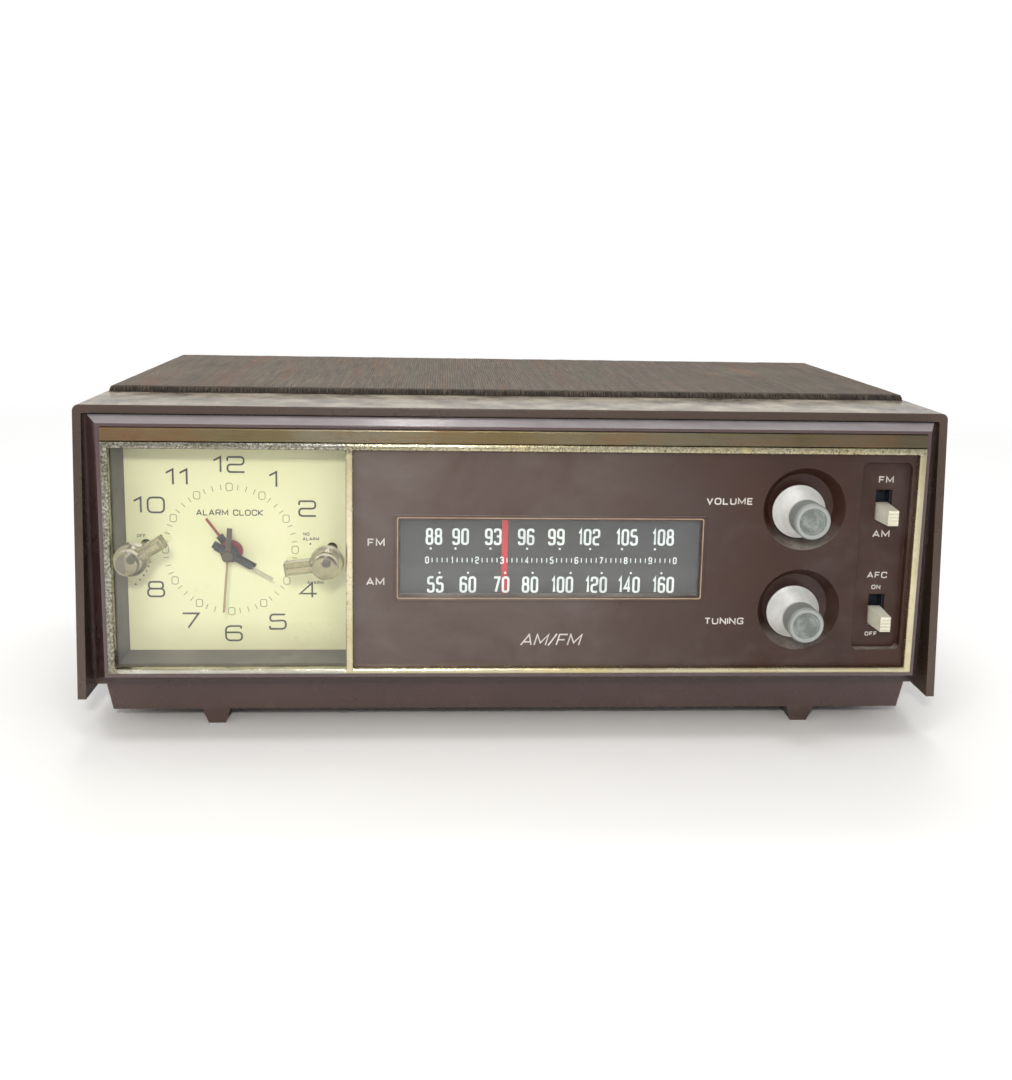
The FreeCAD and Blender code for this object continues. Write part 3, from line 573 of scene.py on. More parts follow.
satinKnob = {
    "colour": (240, 240, 237), "dull": (212, 212, 208), "rough": (0.42, 0.58), "metallic": 0.50,
    "faceGrime": (112, 118, 114), "faceGrimeCover": 0.75, "cap": (140, 145, 142), "capLength": 0.0085,
    "capRadius": 0.0046, "rings": 2600.0, "dishDepth": (0.0012, 0.0016), "capBlend": 0.0015,
}
goldBand = {
    "colour": (114, 101, 68), "pale": (132, 125, 108), "rust": (104, 68, 36), "dark": (58, 50, 38),
    "rustCover": 0.54, "leftRustFrom": -0.100, "darkerFrom": 0.0, "rough": (0.24, 0.44),
}
wornTrim = {
    "silver": (208, 206, 196), "gold": (212, 196, 140), "dark": (66, 58, 48), "fineDark": (104, 100, 88),
    "tarnish": (84, 80, 66),
    "pitScale": 900.0, "pitSize": 0.50, "rough": (0.12, 0.30), "edgeTarnish": 0.0010,
    "silverAged": (176, 170, 150), "divider": (-0.060, -0.058), "runWidth": (0.004, 0.003),
}
sheetSteel = {"colour": (168, 168, 164), "dull": (128, 124, 118), "rough": (0.30, 0.50),
              "rust": (126, 84, 54), "rustCover": 0.30}
spunAluminium = {"colour": (190, 190, 188), "dull": (156, 154, 150), "rough": (0.30, 0.46),
                 "rust": (120, 116, 108), "rustCover": 0.25}
gearBrass = {"colour": (196, 164, 92), "dull": (142, 112, 60), "rough": (0.25, 0.42), "rust": (96, 74, 44),
             "rustCover": 0.32}
screwSteel = {"colour": (178, 176, 170), "dull": (120, 114, 106), "rough": (0.26, 0.44),
              "rust": (118, 78, 50), "rustCover": 0.42}


def makeMetal(name, look, stretch=(1.0, 1.0, 0.05)):
    material, shader = startMaterial(name, Metallic=1.0)
    base = drifting(look["colour"], look["dull"], 70.0)
    rust = useGroup(handlingHaze, Scale=60.0, Cover=look["rustCover"])["Mask"]
    colour = blendColour(times(rust, 0.7), base, look["rust"])
    lines = useGroup(brushedLines, Stretch=stretch)
    edges = useGroup(edgeWear, Radius=0.0003)
    low, high = look["rough"]
    surface(shader, colour, ranged(lines["Mask"], 0.0, 1.0, low, high), lines["Height"], 0.12, 0.0002,
            edges["Normal"])
    return material


def makeKnobAluminium(name, node):
    # turned skirt and cap, the dished face is dull and mottled
    low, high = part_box(node)
    centre = (low + high) / 2
    material, shader = startMaterial(name, Metallic=satinKnob["metallic"])
    turned = useGroup(roundFrom, Centre=tuple(centre), Ring_Scale=satinKnob["rings"])
    base = drifting(satinKnob["colour"], satinKnob["dull"], 130.0)
    grime = useGroup(handlingHaze, Scale=170.0, Cover=satinKnob["faceGrimeCover"])["Mask"]
    onCap = ranged(turned["Distance"], satinKnob["capRadius"] - 0.0002, satinKnob["capRadius"], 1.0, 0.0)
    far = splitPlace()["Y"]
    dishFrom, dishTo = satinKnob["dishDepth"]
    front = ranged(far, low.y + dishFrom, low.y + dishTo, 1.0, 0.0)
    dirty = times(times(onCap, front), ranged(grime, 0, 1, 0.35, 0.95))
    capEnd = low.y + satinKnob["capLength"]
    forward = ranged(far, capEnd, capEnd - satinKnob["capBlend"], 0.0, 0.85)
    colour = blendColour(forward, base, satinKnob["cap"])
    colour = blendColour(dirty, colour, satinKnob["faceGrime"])
    rough = ranged(turned["Rings"], 0.3, 0.7, *satinKnob["rough"])
    edges = useGroup(edgeWear, Radius=0.0002)
    surface(shader, colour, plus(rough, times(dirty, 0.25), True), turned["Rings"], 0.10, 0.0002,
            edges["Normal"])
    return material


def makeGoldBand():
    material, shader = startMaterial("aged gold band")
    axis = splitPlace()
    base = drifting(goldBand["colour"], goldBand["pale"], 22.0)
    lines = useGroup(brushedLines, Stretch=(0.012, 1.0, 1.0), Scale=3600.0)
    streak = blendColour(times(lines["Mask"], 0.28), base, goldBand["dark"])
    blotch = useGroup(handlingHaze, Stretch=(0.55, 1.0, 1.6), Scale=38.0,
                      Cover=goldBand["rustCover"])["Mask"]
    leftEnd = ranged(axis["X"], cadLow.x + 0.016, goldBand["leftRustFrom"], 0.45, 0.0)
    rust = plus(times(blotch, 0.75), leftEnd, True)
    # darker towards the right end
    rightEnd = ranged(axis["X"], goldBand["darkerFrom"], cadHigh.x, 0.0, 0.45)
    streak = blendColour(rightEnd, streak, goldBand["dark"])
    colour = blendColour(rust, streak, goldBand["rust"])
    pits = useGroup(stainSpecks, Scale=1500.0, Size=0.5, Cover=0.46)["Mask"]
    colour = blendColour(times(pits, 0.45), colour, goldBand["dark"])
    wire(shader, "Metallic", ranged(rust, 0.0, 1.0, 0.92, 0.35))
    low, high = goldBand["rough"]
    rough = ranged(lines["Mask"], 0.0, 1.0, low, high)
    surface(shader, colour, plus(rough, times(rust, 0.25), True), lines["Height"], 0.20, 0.0002)
    return material


def makeWornTrim():
    # the top and left runs have lost most plating, the right and bottom runs are still bright
    low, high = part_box("trim_frame")
    material, shader = startMaterial("worn plated trim")
    axis = splitPlace()
    right = ranged(axis["X"], *wornTrim["divider"])
    silver = drifting(wornTrim["silver"], wornTrim["silverAged"], 60.0)
    tint = useGroup(handlingHaze, Scale=30.0, Cover=0.55)["Mask"]
    plated = blendColour(times(right, ranged(tint, 0, 1, 0.45, 0.95)), silver, wornTrim["gold"])
    inner, outer = wornTrim["runWidth"]
    topRun = ranged(axis["Z"], high.z - inner, high.z - outer)
    leftRun = ranged(axis["X"], low.x + inner, low.x + outer)
    cover = plus(times(topRun, 0.55), times(leftRun, 0.45))
    cover = plus(cover, 0.30, True)
    pits = useGroup(stainSpecks, Scale=wornTrim["pitScale"], Size=wornTrim["pitSize"], Cover=cover)["Mask"]
    fine = useGroup(stainSpecks, Scale=2400.0, Size=0.8, Cover=cover, Patch_Scale=190.0)
    plated = blendColour(times(fine["Mask"], 0.75), plated, wornTrim["fineDark"])
    overDial = ranged(axis["X"], -0.020, -0.060, 0.25, 1.0)
    run = maths("MAXIMUM", times(topRun, overDial), leftRun)
    flecks = ranged(noise(objectPlace(), 1100.0, 4.0, 0.7), 0.38, 0.58, 0.95, 0.15)
    plated = blendColour(times(run, flecks), plated, wornTrim["tarnish"])
    edges = useGroup(edgeWear, Radius=wornTrim["edgeTarnish"], Reach=0.35, Break_Up=0.7)
    plated = blendColour(times(edges["Mask"], 0.85), plated, wornTrim["dark"])
    lost = times(pits, 0.85)
    wire(shader, "Metallic", minus(1.0, times(lost, 0.95)))
    low, high = wornTrim["rough"]
    patch = noise(objectPlace(), 300.0, 4.0, 0.6)
    rough = plus(ranged(patch, 0.35, 0.65, low, high), times(lost, 0.35), True)
    surface(shader, blendColour(lost, plated, wornTrim["dark"]), rough, minus(patch, times(lost, 0.5)),
            0.12, 0.0002, edges["Normal"])
    return material


steel = makeMetal("bright sheet steel", sheetSteel)
aluminium = makeMetal("drawn aluminium", spunAluminium)
brass = makeMetal("gear brass", gearBrass, (1.0, 1.0, 1.0))
screws = makeMetal("screw steel", screwSteel, (1.0, 1.0, 1.0))
metals = {
    "gold_band": makeGoldBand(),
    "trim_frame": makeWornTrim(),
    "volume_knob": makeKnobAluminium("volume knob aluminium", "volume_knob"),
    "tuning_knob": makeKnobAluminium("tuning knob aluminium", "tuning_knob"),
    "back_screws": screws,
}
for name in ("movement_frame", "motor_stator", "motor_rotor", "time_set_shaft", "alarm_set_shaft",
             "volume_shaft",
             "tuning_shaft", "chassis_plate", "volume_control_body", "speaker_basket",
             "mains_transformer"):
    metals[name] = steel
for name in ("capacitor_rotor", "tuning_capacitor", "coil_cans"):
    metals[name] = aluminium
for name in ("alarm_wheel", "hour_wheel", "cannon_pinion", "motion_wheel", "second_arbor"):
    metals[name] = brass
print("metals ready")


# clear parts, dial, hands and scale

clearWindow = {"tint": (250, 251, 248), "aged": (244, 245, 238), "rough": 0.0, "index": 1.46}
acrylicKnob = {"tint": (214, 208, 190), "cloud": (112, 104, 86), "rough": (0.06, 0.26), "index": 1.49,
               "clear": 0.84,
               "cloudCover": 0.60}
creamDial = {
    "colour": (240, 238, 198), "drift": (232, 236, 188), "foxing": (140, 118, 76),
    "edgeShade": (206, 198, 154),
    "foxingCorner": (-0.066, -0.063, 0.040),
}
handPaint = {"black": (40, 44, 50), "edge": (92, 98, 100), "pale": (180, 178, 150), "red": (150, 66, 56),
             "hub": (136, 34, 46),
             "tan": (156, 134, 92), "tanDark": (70, 62, 48), "axis": (-0.1002, -0.0700, 0.0658)}
greyScale = {"colour": (60, 61, 66), "drift": (50, 51, 56), "light": (84, 84, 86), "lightBelow": 0.0640}
redPointer = {"colour": (200, 14, 28), "drift": (186, 28, 40)}


def makeClearWindow():
    material, shader = startMaterial("clear window plastic")
    wire(shader, "Transmission Weight", 1.0)
    wire(shader, "IOR", clearWindow["index"])
    wire(shader, "Roughness", clearWindow["rough"])
    cloud = ranged(noise(objectPlace(), 20.0, 2.0), 0.3, 0.7)
    join(blendColour(cloud, clearWindow["tint"], clearWindow["aged"]), shader.inputs["Base Color"])
    # light for the dial passes straight through the thin pane
    ray = addNode("LightPath")
    clear = addNode("BsdfTransparent")
    pick = addNode("MixShader")
    through = maths("MAXIMUM", ray.outputs["Is Shadow Ray"], ray.outputs["Is Diffuse Ray"])
    bounced = minus(ray.outputs["Is Glossy Ray"], ray.outputs["Is Transmission Ray"], True)
    through = maths("MAXIMUM", through, bounced)
    join(through, pick.inputs["Fac"])
    join(shader.outputs["BSDF"], pick.inputs[1])
    join(clear.outputs["BSDF"], pick.inputs[2])
    join(pick.outputs["Shader"], material.node_tree.nodes["Material Output"].inputs["Surface"])
    return material


def makeAcrylicKnob():
    material, shader = startMaterial("cloudy acrylic")
    wire(shader, "Transmission Weight", acrylicKnob["clear"])
    wire(shader, "IOR", acrylicKnob["index"])
    cloud = useGroup(handlingHaze, Scale=120.0, Cover=acrylicKnob["cloudCover"])["Mask"]
    low, high = acrylicKnob["rough"]
    murky = times(cloud, 0.55)
    colour = blendColour(murky, acrylicKnob["tint"], acrylicKnob["cloud"])
    edges = useGroup(edgeWear, Radius=0.0004)
    surface(shader, colour, ranged(cloud, 0, 1, low, high), noise(objectPlace(), 500.0, 3.0), 0.10, 0.0003,
            edges["Normal"])
    return material


def makeCreamDial():
    low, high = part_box("clock_dial")
    material, shader = startMaterial("cream dial card")
    axis = splitPlace()
    base = drifting(creamDial["colour"], creamDial["drift"], 30.0)
    fromCorner = vectorMaths("SUBTRACT", objectPlace(), creamDial["foxingCorner"])
    corner = ranged(vectorMaths("LENGTH", fromCorner), 0.006, 0.034, 1.0, 0.0)
    specks = useGroup(stainSpecks, Scale=800.0, Size=0.36, Cover=0.60)["Mask"]
    faint = useGroup(stainSpecks, Scale=260.0, Size=0.35, Cover=0.42)["Mask"]
    stain = plus(times(specks, corner), times(faint, 0.22), True)
    colour = blendColour(times(stain, 0.62), base, creamDial["foxing"])
    # darker within 10 mm of the dial's edges, towards the recess walls: painted shade
    side = maths("MINIMUM", minus(axis["X"], low.x + 0.001), minus(high.x - 0.001, axis["X"]))
    updown = maths("MINIMUM", minus(axis["Z"], low.z + 0.001), minus(high.z - 0.001, axis["Z"]))
    rim = ranged(maths("MINIMUM", side, updown), 0.0, 0.010, 0.45, 0.0)
    rimShade = times(rim, ranged(noise(objectPlace(), 70.0, 4.0), 0.3, 0.7, 0.4, 1.2))
    grain = mouldedSurface(2200.0, 0.50, 0.68)
    surface(shader, blendColour(rimShade, colour, creamDial["edgeShade"]), grain["Roughness"], grain["Height"],
            0.08, 0.0003)
    return material


def makeHandPaint(name, steps, rough=(0.30, 0.48), tail=None):
    # steps: colour, and how far from the arbor it starts
    material, shader = startMaterial(name)
    far = useGroup(roundFrom, Centre=handPaint["axis"])["Distance"]
    colour = steps[0][0]
    for shade, start in steps[1:]:
        colour = blendColour(ranged(far, start - 0.0002, start + 0.0002), colour, shade)
    if tail:        # the short end that points up is painted too
        height = splitPlace()["Z"]
        above = handPaint["axis"][2] + 0.0022
        colour = blendColour(ranged(height, above, above + 0.0003), colour, tail)
    chips = useGroup(stainSpecks, Scale=900.0, Size=0.5, Cover=0.5)["Mask"]
    edges = useGroup(edgeWear, Radius=0.00025)
    worn = maths("MAXIMUM", times(edges["Mask"], 0.45), times(chips, 0.4))
    patch = noise(objectPlace(), 600.0, 3.0)
    surface(shader, blendColour(worn, colour, handPaint["edge"]), ranged(patch, 0.3, 0.7, *rough), patch,
            0.06, 0.0002, edges["Normal"])
    return material


def makeScalePaint():
    material, shader = startMaterial("grey scale plate")
    axis = splitPlace()
    base = drifting(greyScale["colour"], greyScale["drift"], 40.0)
    below = ranged(axis["Z"], greyScale["lightBelow"], greyScale["lightBelow"] - 0.0012, 0.0, 0.45)
    cloud = ranged(noise(objectPlace(), 90.0, 4.0), 0.3, 0.7, 0.5, 1.0)
    colour = blendColour(times(below, cloud), base, greyScale["light"])
    grain = mouldedSurface(700.0, 0.54, 0.68)
    surface(shader, colour, grain["Roughness"], grain["Height"], 0.012, 0.0002)
    return material


def makePointerPaint():
    material, shader = startMaterial("pointer red")
    base = drifting(redPointer["colour"], redPointer["drift"], 120.0)
    patch = noise(objectPlace(), 500.0, 3.0)
    surface(shader, base, ranged(patch, 0.3, 0.7, 0.28, 0.42), patch, 0.05, 0.0002)
    return material


window = makeClearWindow()
acrylic = makeAcrylicKnob()
blackHand = makeHandPaint("black hand paint", [(handPaint["black"], 0)])
minutePaint = makeHandPaint("minute hand paint", [(handPaint["black"], 0), (handPaint["pale"], 0.0096)])
redHand = makeHandPaint("alarm hand paint",
                        [(handPaint["hub"], 0), (handPaint["black"], 0.0041), (handPaint["red"], 0.0070)])
tanHand = makeHandPaint("second hand paint",
                        [(handPaint["tanDark"], 0), (handPaint["tan"], 0.0024)], (0.25, 0.40),
                        handPaint["tanDark"])
dialParts = {
    "tuner_lens": window, "clock_crystal": window, "dial_lamps": window,
    "sleep_knob": acrylic, "alarm_mode_knob": acrylic,
    "clock_dial": makeCreamDial(), "tuner_scale": makeScalePaint(), "tuner_pointer": makePointerPaint(),
    "hour_hand": blackHand, "minute_hand": minutePaint, "alarm_hand": redHand, "second_hand": tanHand,
}
print("dial finishes ready")


# parts behind the front

innerLooks = {
    "speaker_cone": {"colour": (70, 64, 58), "drift": (54, 50, 46), "scale": 90.0, "fibre": 1400.0,
                     "depth": 0.5, "rough": 0.85},
    "grille_board": {"colour": (96, 72, 50), "drift": (78, 58, 42), "scale": 60.0, "fibre": 1800.0,
                     "depth": 0.4, "rough": 0.80},
    "circuit_board": {"colour": (140, 104, 58), "drift": (118, 84, 46), "scale": 40.0, "fibre": 1500.0,
                      "depth": 0.1, "rough": 0.42},
    "ferrite_aerial": {"colour": (58, 56, 56), "drift": (44, 42, 42), "scale": 90.0, "fibre": 1600.0,
                       "depth": 0.2, "rough": 0.55},
    "dial_cord": {"colour": (196, 186, 158), "drift": (150, 138, 108), "scale": 200.0, "fibre": 3000.0,
                  "depth": 0.5, "rough": 0.75},
}


def makeInnerFinish(name, look):
    material, shader = startMaterial(name.replace("_", " ") + " finish")
    base = drifting(look["colour"], look["drift"], look["scale"])
    fibre = noise(objectPlace(), look["fibre"], 4.0, 0.7)
    dustAndSheen = useGroup(dustAndSheenGroup, Amount=0.4)["Mask"]
    surface(shader, blendColour(dustAndSheen, base, (150, 142, 128)),
            ranged(fibre, 0.3, 0.7, look["rough"] - 0.08, look["rough"] + 0.08), fibre, look["depth"],
            0.0003)
    return material


finishes = {**plastics, **metals, **dialParts}
for name, look in innerLooks.items():
    finishes[name] = makeInnerFinish(name, look)
for name, part in nodes.items():
    if name in finishes:
        part.material_slots[0].material = finishes[name]
print("parts painted,", len(finishes), "of", len(nodes))


# printed figures and words, drawn as flat strokes

sharp, bent, looped = (False, False), (False, True), (True, True)      # closed, round corners

# each glyph: how wide it is, then its strokes on a square of side 1
glyphs = {
    "0": (1.0, [(looped, [(0, 0), (1, 0), (1, 1), (0, 1)])]),
    "1": (0.55, [(sharp, [(0, 0.76), (0.85, 1), (0.85, 0)])]),
    "2": (1.0, [(bent, [(0, 0.74), (0, 1), (1, 1), (1, 0.5), (0, 0.5), (0, 0), (1.04, 0)])]),
    "3": (1.0, [(bent, [(0, 0.8), (0, 1), (1, 1), (1, 0.53), (0.3, 0.53)]),
                (bent, [(0.3, 0.53), (1, 0.53), (1, 0), (0, 0), (0, 0.2)])]),
    "4": (1.0, [(sharp, [(0.76, 0), (0.76, 1), (0, 0.26), (1.04, 0.26)])]),
    "5": (1.0, [(bent, [(0.96, 1), (0.04, 1), (0.0, 0.54), (1, 0.6), (1, 0), (0, 0), (0, 0.2)])]),
    "6": (1.0, [(bent, [(0.96, 0.82), (0.96, 1), (0, 1), (0, 0), (1, 0), (1, 0.56), (0, 0.56)])]),
    "7": (1.0, [(sharp, [(0, 1), (1, 1), (0.34, 0)])]),
    "8": (1.0, [(looped, [(0, 0), (1, 0), (1, 0.53), (0, 0.53)]),
                (looped, [(0.06, 0.53), (0.94, 0.53), (0.94, 1), (0.06, 1)])]),
    "9": (1.0, [(bent, [(0.04, 0.18), (0.04, 0), (1, 0), (1, 1), (0, 1), (0, 0.44), (1, 0.44)])]),
    "A": (1.1, [(sharp, [(0, 0), (0.5, 1), (1, 0)]), (sharp, [(0.2, 0.3), (0.8, 0.3)])]),
    "C": (1.0, [(bent, [(1, 0.7), (1, 1), (0, 1), (0, 0), (1, 0), (1, 0.3)])]),
    "D": (1.0, [(looped, [(0, 0), (1, 0), (1, 1), (0, 1)])]),
    "E": (0.9, [(sharp, [(1, 1), (0, 1), (0, 0), (1, 0)]), (sharp, [(0, 0.5), (0.9, 0.5)])]),
    "F": (0.9, [(sharp, [(1, 1), (0, 1), (0, 0)]), (sharp, [(0, 0.5), (0.85, 0.5)])]),
    "G": (1.0, [(bent, [(1, 0.75), (1, 1), (0, 1), (0, 0), (1, 0), (1, 0.48), (0.55, 0.48)])]),
    "I": (0.05, [(sharp, [(0.5, 0), (0.5, 1)])]),
    "K": (1.0, [(sharp, [(0, 0), (0, 1)]), (sharp, [(1, 1), (0.1, 0.48), (1, 0)])]),
    "L": (0.9, [(sharp, [(0, 1), (0, 0), (1, 0)])]),
    "M": (1.2, [(sharp, [(0, 0), (0, 1), (0.5, 0.2), (1, 1), (1, 0)])]),
    "N": (1.0, [(sharp, [(0, 0), (0, 1), (1, 0), (1, 1)])]),
    "O": (1.05, [(looped, [(0, 0), (1, 0), (1, 1), (0, 1)])]),
    "R": (1.0, [(bent, [(0, 0), (0, 0.5), (0, 1), (1, 1), (1, 0.44), (0, 0.44)]),
                (sharp, [(0.55, 0.44), (1, 0)])]),
    "T": (0.95, [(sharp, [(0, 1), (1, 1)]), (sharp, [(0.5, 1), (0.5, 0)])]),
    "U": (1.0, [(bent, [(0, 1), (0, 0), (1, 0), (1, 1)])]),
    "V": (1.0, [(sharp, [(0, 1), (0.5, 0), (1, 1)])]),
    "W": (1.4, [(sharp, [(0, 1), (0.25, 0), (0.5, 0.85), (0.75, 0), (1, 1)])]),
    "/": (0.6, [(sharp, [(0, -0.06), (1, 1.06)])]),
    " ": (0.55, []),
}


lift = 0.00004      # how far ink stands off its surface
hair = 0.0000006    # step between neighbouring points of a stroke
layerStep = 16 * hair       # step between the strokes of a letter


def roundCorners(points, closed, radius):
    out = []
    count = len(points)
    for i, corner in enumerate(points):
        if not closed and i in (0, count - 1):
            out.append(corner)
            continue
        before, after = points[i - 1], points[(i + 1) % count]
        toBefore, toAfter = before - corner, after - corner
        cut = min(radius, toBefore.length * 0.48, toAfter.length * 0.48)
        start = corner + toBefore.normalized() * cut
        end = corner + toAfter.normalized() * cut
        for step in range(7):
            t = step / 6
            out.append(start * (1 - t) ** 2 + corner * 2 * t * (1 - t) + end * t ** 2)
    return out


def inkStroke(bm, points, closed, weight, depth):
    # a flat ribbon that faces the front, mitred at each point, each point a hair nearer than the last so
    # that a stroke never lies in the same plane as one it crosses
    count = len(points)
    left, right = [], []
    for i, spot in enumerate(points):
        ahead = points[(i + 1) % count] if closed or i < count - 1 else None
        behind = points[i - 1] if closed or i > 0 else None
        into = (spot - behind).normalized() if behind is not None else (ahead - spot).normalized()
        outOf = (ahead - spot).normalized() if ahead is not None else into
        middle = into + outOf
        middle = middle.normalized() if middle.length > 0.05 else into
        side = Vector((-middle.y, middle.x))
        reach = weight / 2 / max(0.42, side.dot(Vector((-into.y, into.x))))
        near = depth - i * hair
        left.append(bm.verts.new((spot.x + side.x * reach, near, spot.y + side.y * reach)))
        right.append(bm.verts.new((spot.x - side.x * reach, near, spot.y - side.y * reach)))
    for i in range(count if closed else count - 1):
        j = (i + 1) % count
        bm.faces.new((left[i], right[i], right[j], left[j]))


def inkText(bm, words, middle, tall, wide, gap, weight, depth, lean=0.0, corner=0.30):
    advance = [glyphs[letter][0] * wide for letter in words]
    total = sum(advance) + gap * (len(words) - 1)
    x = middle[0] - total / 2
    for letter, width in zip(words, advance):
        for layer, ((closed, rounded), shape) in enumerate(glyphs[letter][1]):
            inner = tall - weight
            spots = [Vector((x + weight / 2 + px * (width - weight),
                             middle[1] - inner / 2 + py * inner)) for px, py in shape]
            if len(set(px for px, py in shape)) == 1 and width < weight * 1.5:
                spots = [Vector((x + width / 2, spot.y)) for spot in spots]
            spots = [Vector((spot.x + (spot.y - middle[1]) * lean, spot.y)) for spot in spots]
            if rounded:
                spots = roundCorners(spots, closed, corner * min(tall, max(width, wide * 0.6)))
            inkStroke(bm, spots, closed, weight, depth - layer * layerStep)
        x += width + gap


def inkDot(bm, middle, size, depth, sides=10):
    ring = []
    for i in range(sides):
        turn = 2 * math.pi * i / sides
        ring.append(bm.verts.new((middle[0] + math.cos(turn) * size / 2, depth,
                                  middle[1] + math.sin(turn) * size / 2)))
    bm.faces.new(ring)


def finishInk(bm, name, material):
    for face in bm.faces:
        face.normal_update()
        if face.normal.y > 0:
            face.normal_flip()
    data = bpy.data.meshes.new(name)
    bm.to_mesh(data)
    bm.free()
    piece = showMesh(name, data, material)
    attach(piece, "cabinet")
    return piece


def makeInk(name, colour, faded, wearCover, rough=0.5):
    material, shader = startMaterial(name)
    base = drifting(colour, faded, 140.0)
    rubbed = useGroup(stainSpecks, Scale=1500.0, Size=0.8, Cover=wearCover, Patch_Scale=120.0)
    patch = noise(objectPlace(), 900.0, 3.0)
    surface(shader, blendColour(times(rubbed["Mask"], 0.6), base, faded),
            ranged(patch, 0.3, 0.7, rough - 0.08, rough + 0.08), patch, 0.05, 0.0001)
    return material


dialPrint = {
    "centre": (-0.1009, 0.0658),
    "figures": {"12": (0, 30.6), "1": (15.4, 25.4), "2": (27, 15), "4": (27, -14.8), "5": (16.2, -26.5),
                "6": (0.6, -30.8), "7": (-14.5, -26.1), "8": (-26.3, -14.5), "10": (-27.8, 16),
                "11": (-17.9, 26.1)},
    "tall": 6.0, "wide": 6.3, "gap": 1.3, "weight": 0.66,
    "ringRadius": 22.6, "hourTall": 2.7, "hourWide": 2.2, "tick": 1.9, "ringWeight": 0.30,
    "words": "ALARM CLOCK", "wordsAt": (0, 13.4), "wordsTall": 2.2, "wordsWide": 1.88, "wordsWeight": 0.36,
    "smallWords": [("OFF", -30.8, 4.9), ("NO", 26.6, 5.8), ("ALARM", 28.2, 4.0), ("AUTO", 21.4, -4.2),
                   ("ALARM", 29.6, -12.0)],
    "smallTall": 1.15, "smallWide": 0.92, "smallWeight": 0.22, "wordsGap": 0.30, "hourCorner": 0.8,
    "ink": (50, 52, 50), "inkFaded": (84, 86, 76), "pale": (136, 138, 96), "paleFaded": (178, 178, 130),
}


def makeDialPrint():
    low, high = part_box("clock_dial")
    depth = low.y - lift
    cx, cz = dialPrint["centre"]
    ink = bmesh.new()
    for figure, (dx, dz) in dialPrint["figures"].items():
        inkText(ink, figure, (cx + dx * mm, cz + dz * mm), dialPrint["tall"] * mm, dialPrint["wide"] * mm,
                dialPrint["gap"] * mm, dialPrint["weight"] * mm, depth)
    wx, wz = dialPrint["wordsAt"]
    inkText(ink, dialPrint["words"], (cx + wx * mm, cz + wz * mm), dialPrint["wordsTall"] * mm,
            dialPrint["wordsWide"] * mm, dialPrint["wordsGap"] * mm, dialPrint["wordsWeight"] * mm, depth)
    # small words and dots round the two side knobs
    for words, dx, dz in dialPrint["smallWords"]:
        inkText(ink, words, (cx + dx * mm, cz + dz * mm), dialPrint["smallTall"] * mm,
                dialPrint["smallWide"] * mm, dialPrint["smallWeight"] * mm, dialPrint["smallWeight"] * mm,
                depth)
    for i in range(6):
        t = i / 5
        spot = (cx + (-28.0 - 5.3 * t + 0.8 * math.sin(t * math.pi)) * mm, cz + (-4.6 - 8.1 * t) * mm)
        inkDot(ink, spot, (0.55 + 0.1 * (i % 2)) * mm, depth)
    inkDot(ink, (cx + 28.0 * mm, cz + 2.2 * mm), 0.7 * mm, depth)
    figures = finishInk(ink, "dial_figures", makeInk("dial grey ink", dialPrint["ink"],
                                                     dialPrint["inkFaded"], 0.30))
    ring = bmesh.new()
    radius, weight = dialPrint["ringRadius"] * mm, dialPrint["ringWeight"] * mm
    for hour in range(12):
        turn = math.radians(hour * 30)
        spot = (cx + math.sin(turn) * radius, cz + math.cos(turn) * radius)
        half = Vector((dialPrint["hourWide"], dialPrint["hourTall"])) * mm / 2
        box = [Vector((spot[0] + sx * half.x, spot[1] + sz * half.y)) for sx,
               sz in ((-1, -1), (1, -1), (1, 1), (-1, 1))]
        inkStroke(ring, roundCorners(box, True, dialPrint["hourCorner"] * mm), True, weight, depth)
        for quarter in (1, 2, 3):
            turn = math.radians(hour * 30 + quarter * 7.5)
            way = Vector((math.sin(turn), math.cos(turn)))
            start = Vector((cx, cz)) + way * (radius - dialPrint["tick"] * mm / 2)
            inkStroke(ring, [start, start + way * dialPrint["tick"] * mm], False, weight, depth)
    pale = finishInk(ring, "dial_minute_ring", makeInk("dial pale ink", dialPrint["pale"],
                                                       dialPrint["paleFaded"], 0.45))


scalePrint = {
    # figure: where it stands, and how far its dot lies to the side
    "fm": {"88": (-29.2, -1.1), "90": (-20.1, -1.7), "93": (-8.9, -0.9), "96": (2.4, 0.4),
           "99": (12.8, 1.3),
           "102": (24.2, 0.4), "105": (37.3, -1.6), "108": (49.9, -2.7)},
    "am": {"55": (-28.6, 1.4), "60": (-17.4, 0.0), "70": (-5.9, 1.3), "80": (4.1, 0.8), "100": (15.3, 2.8),
           "120": (27.1, 1.8), "140": (38.6, 0.5), "160": (50.6, -0.8)},
    "fmHeight": 74.9, "fmDots": 70.7, "logHeight": 66.6, "amDots": 62.1, "amHeight": 57.9,
    "tall": 5.9, "wide": 2.65, "gap": 0.42, "weight": 0.80,
    "logFrom": -31.5, "logTo": 54.3, "logTall": 2.5, "logWide": 1.3, "logWeight": 0.38,
    "logGap": 0.2, "logTick": 1.6, "logTickWeight": 0.32, "dotSize": 0.8, "corner": 0.42,
    "ink": (236, 242, 244), "faded": (196, 206, 210),
}


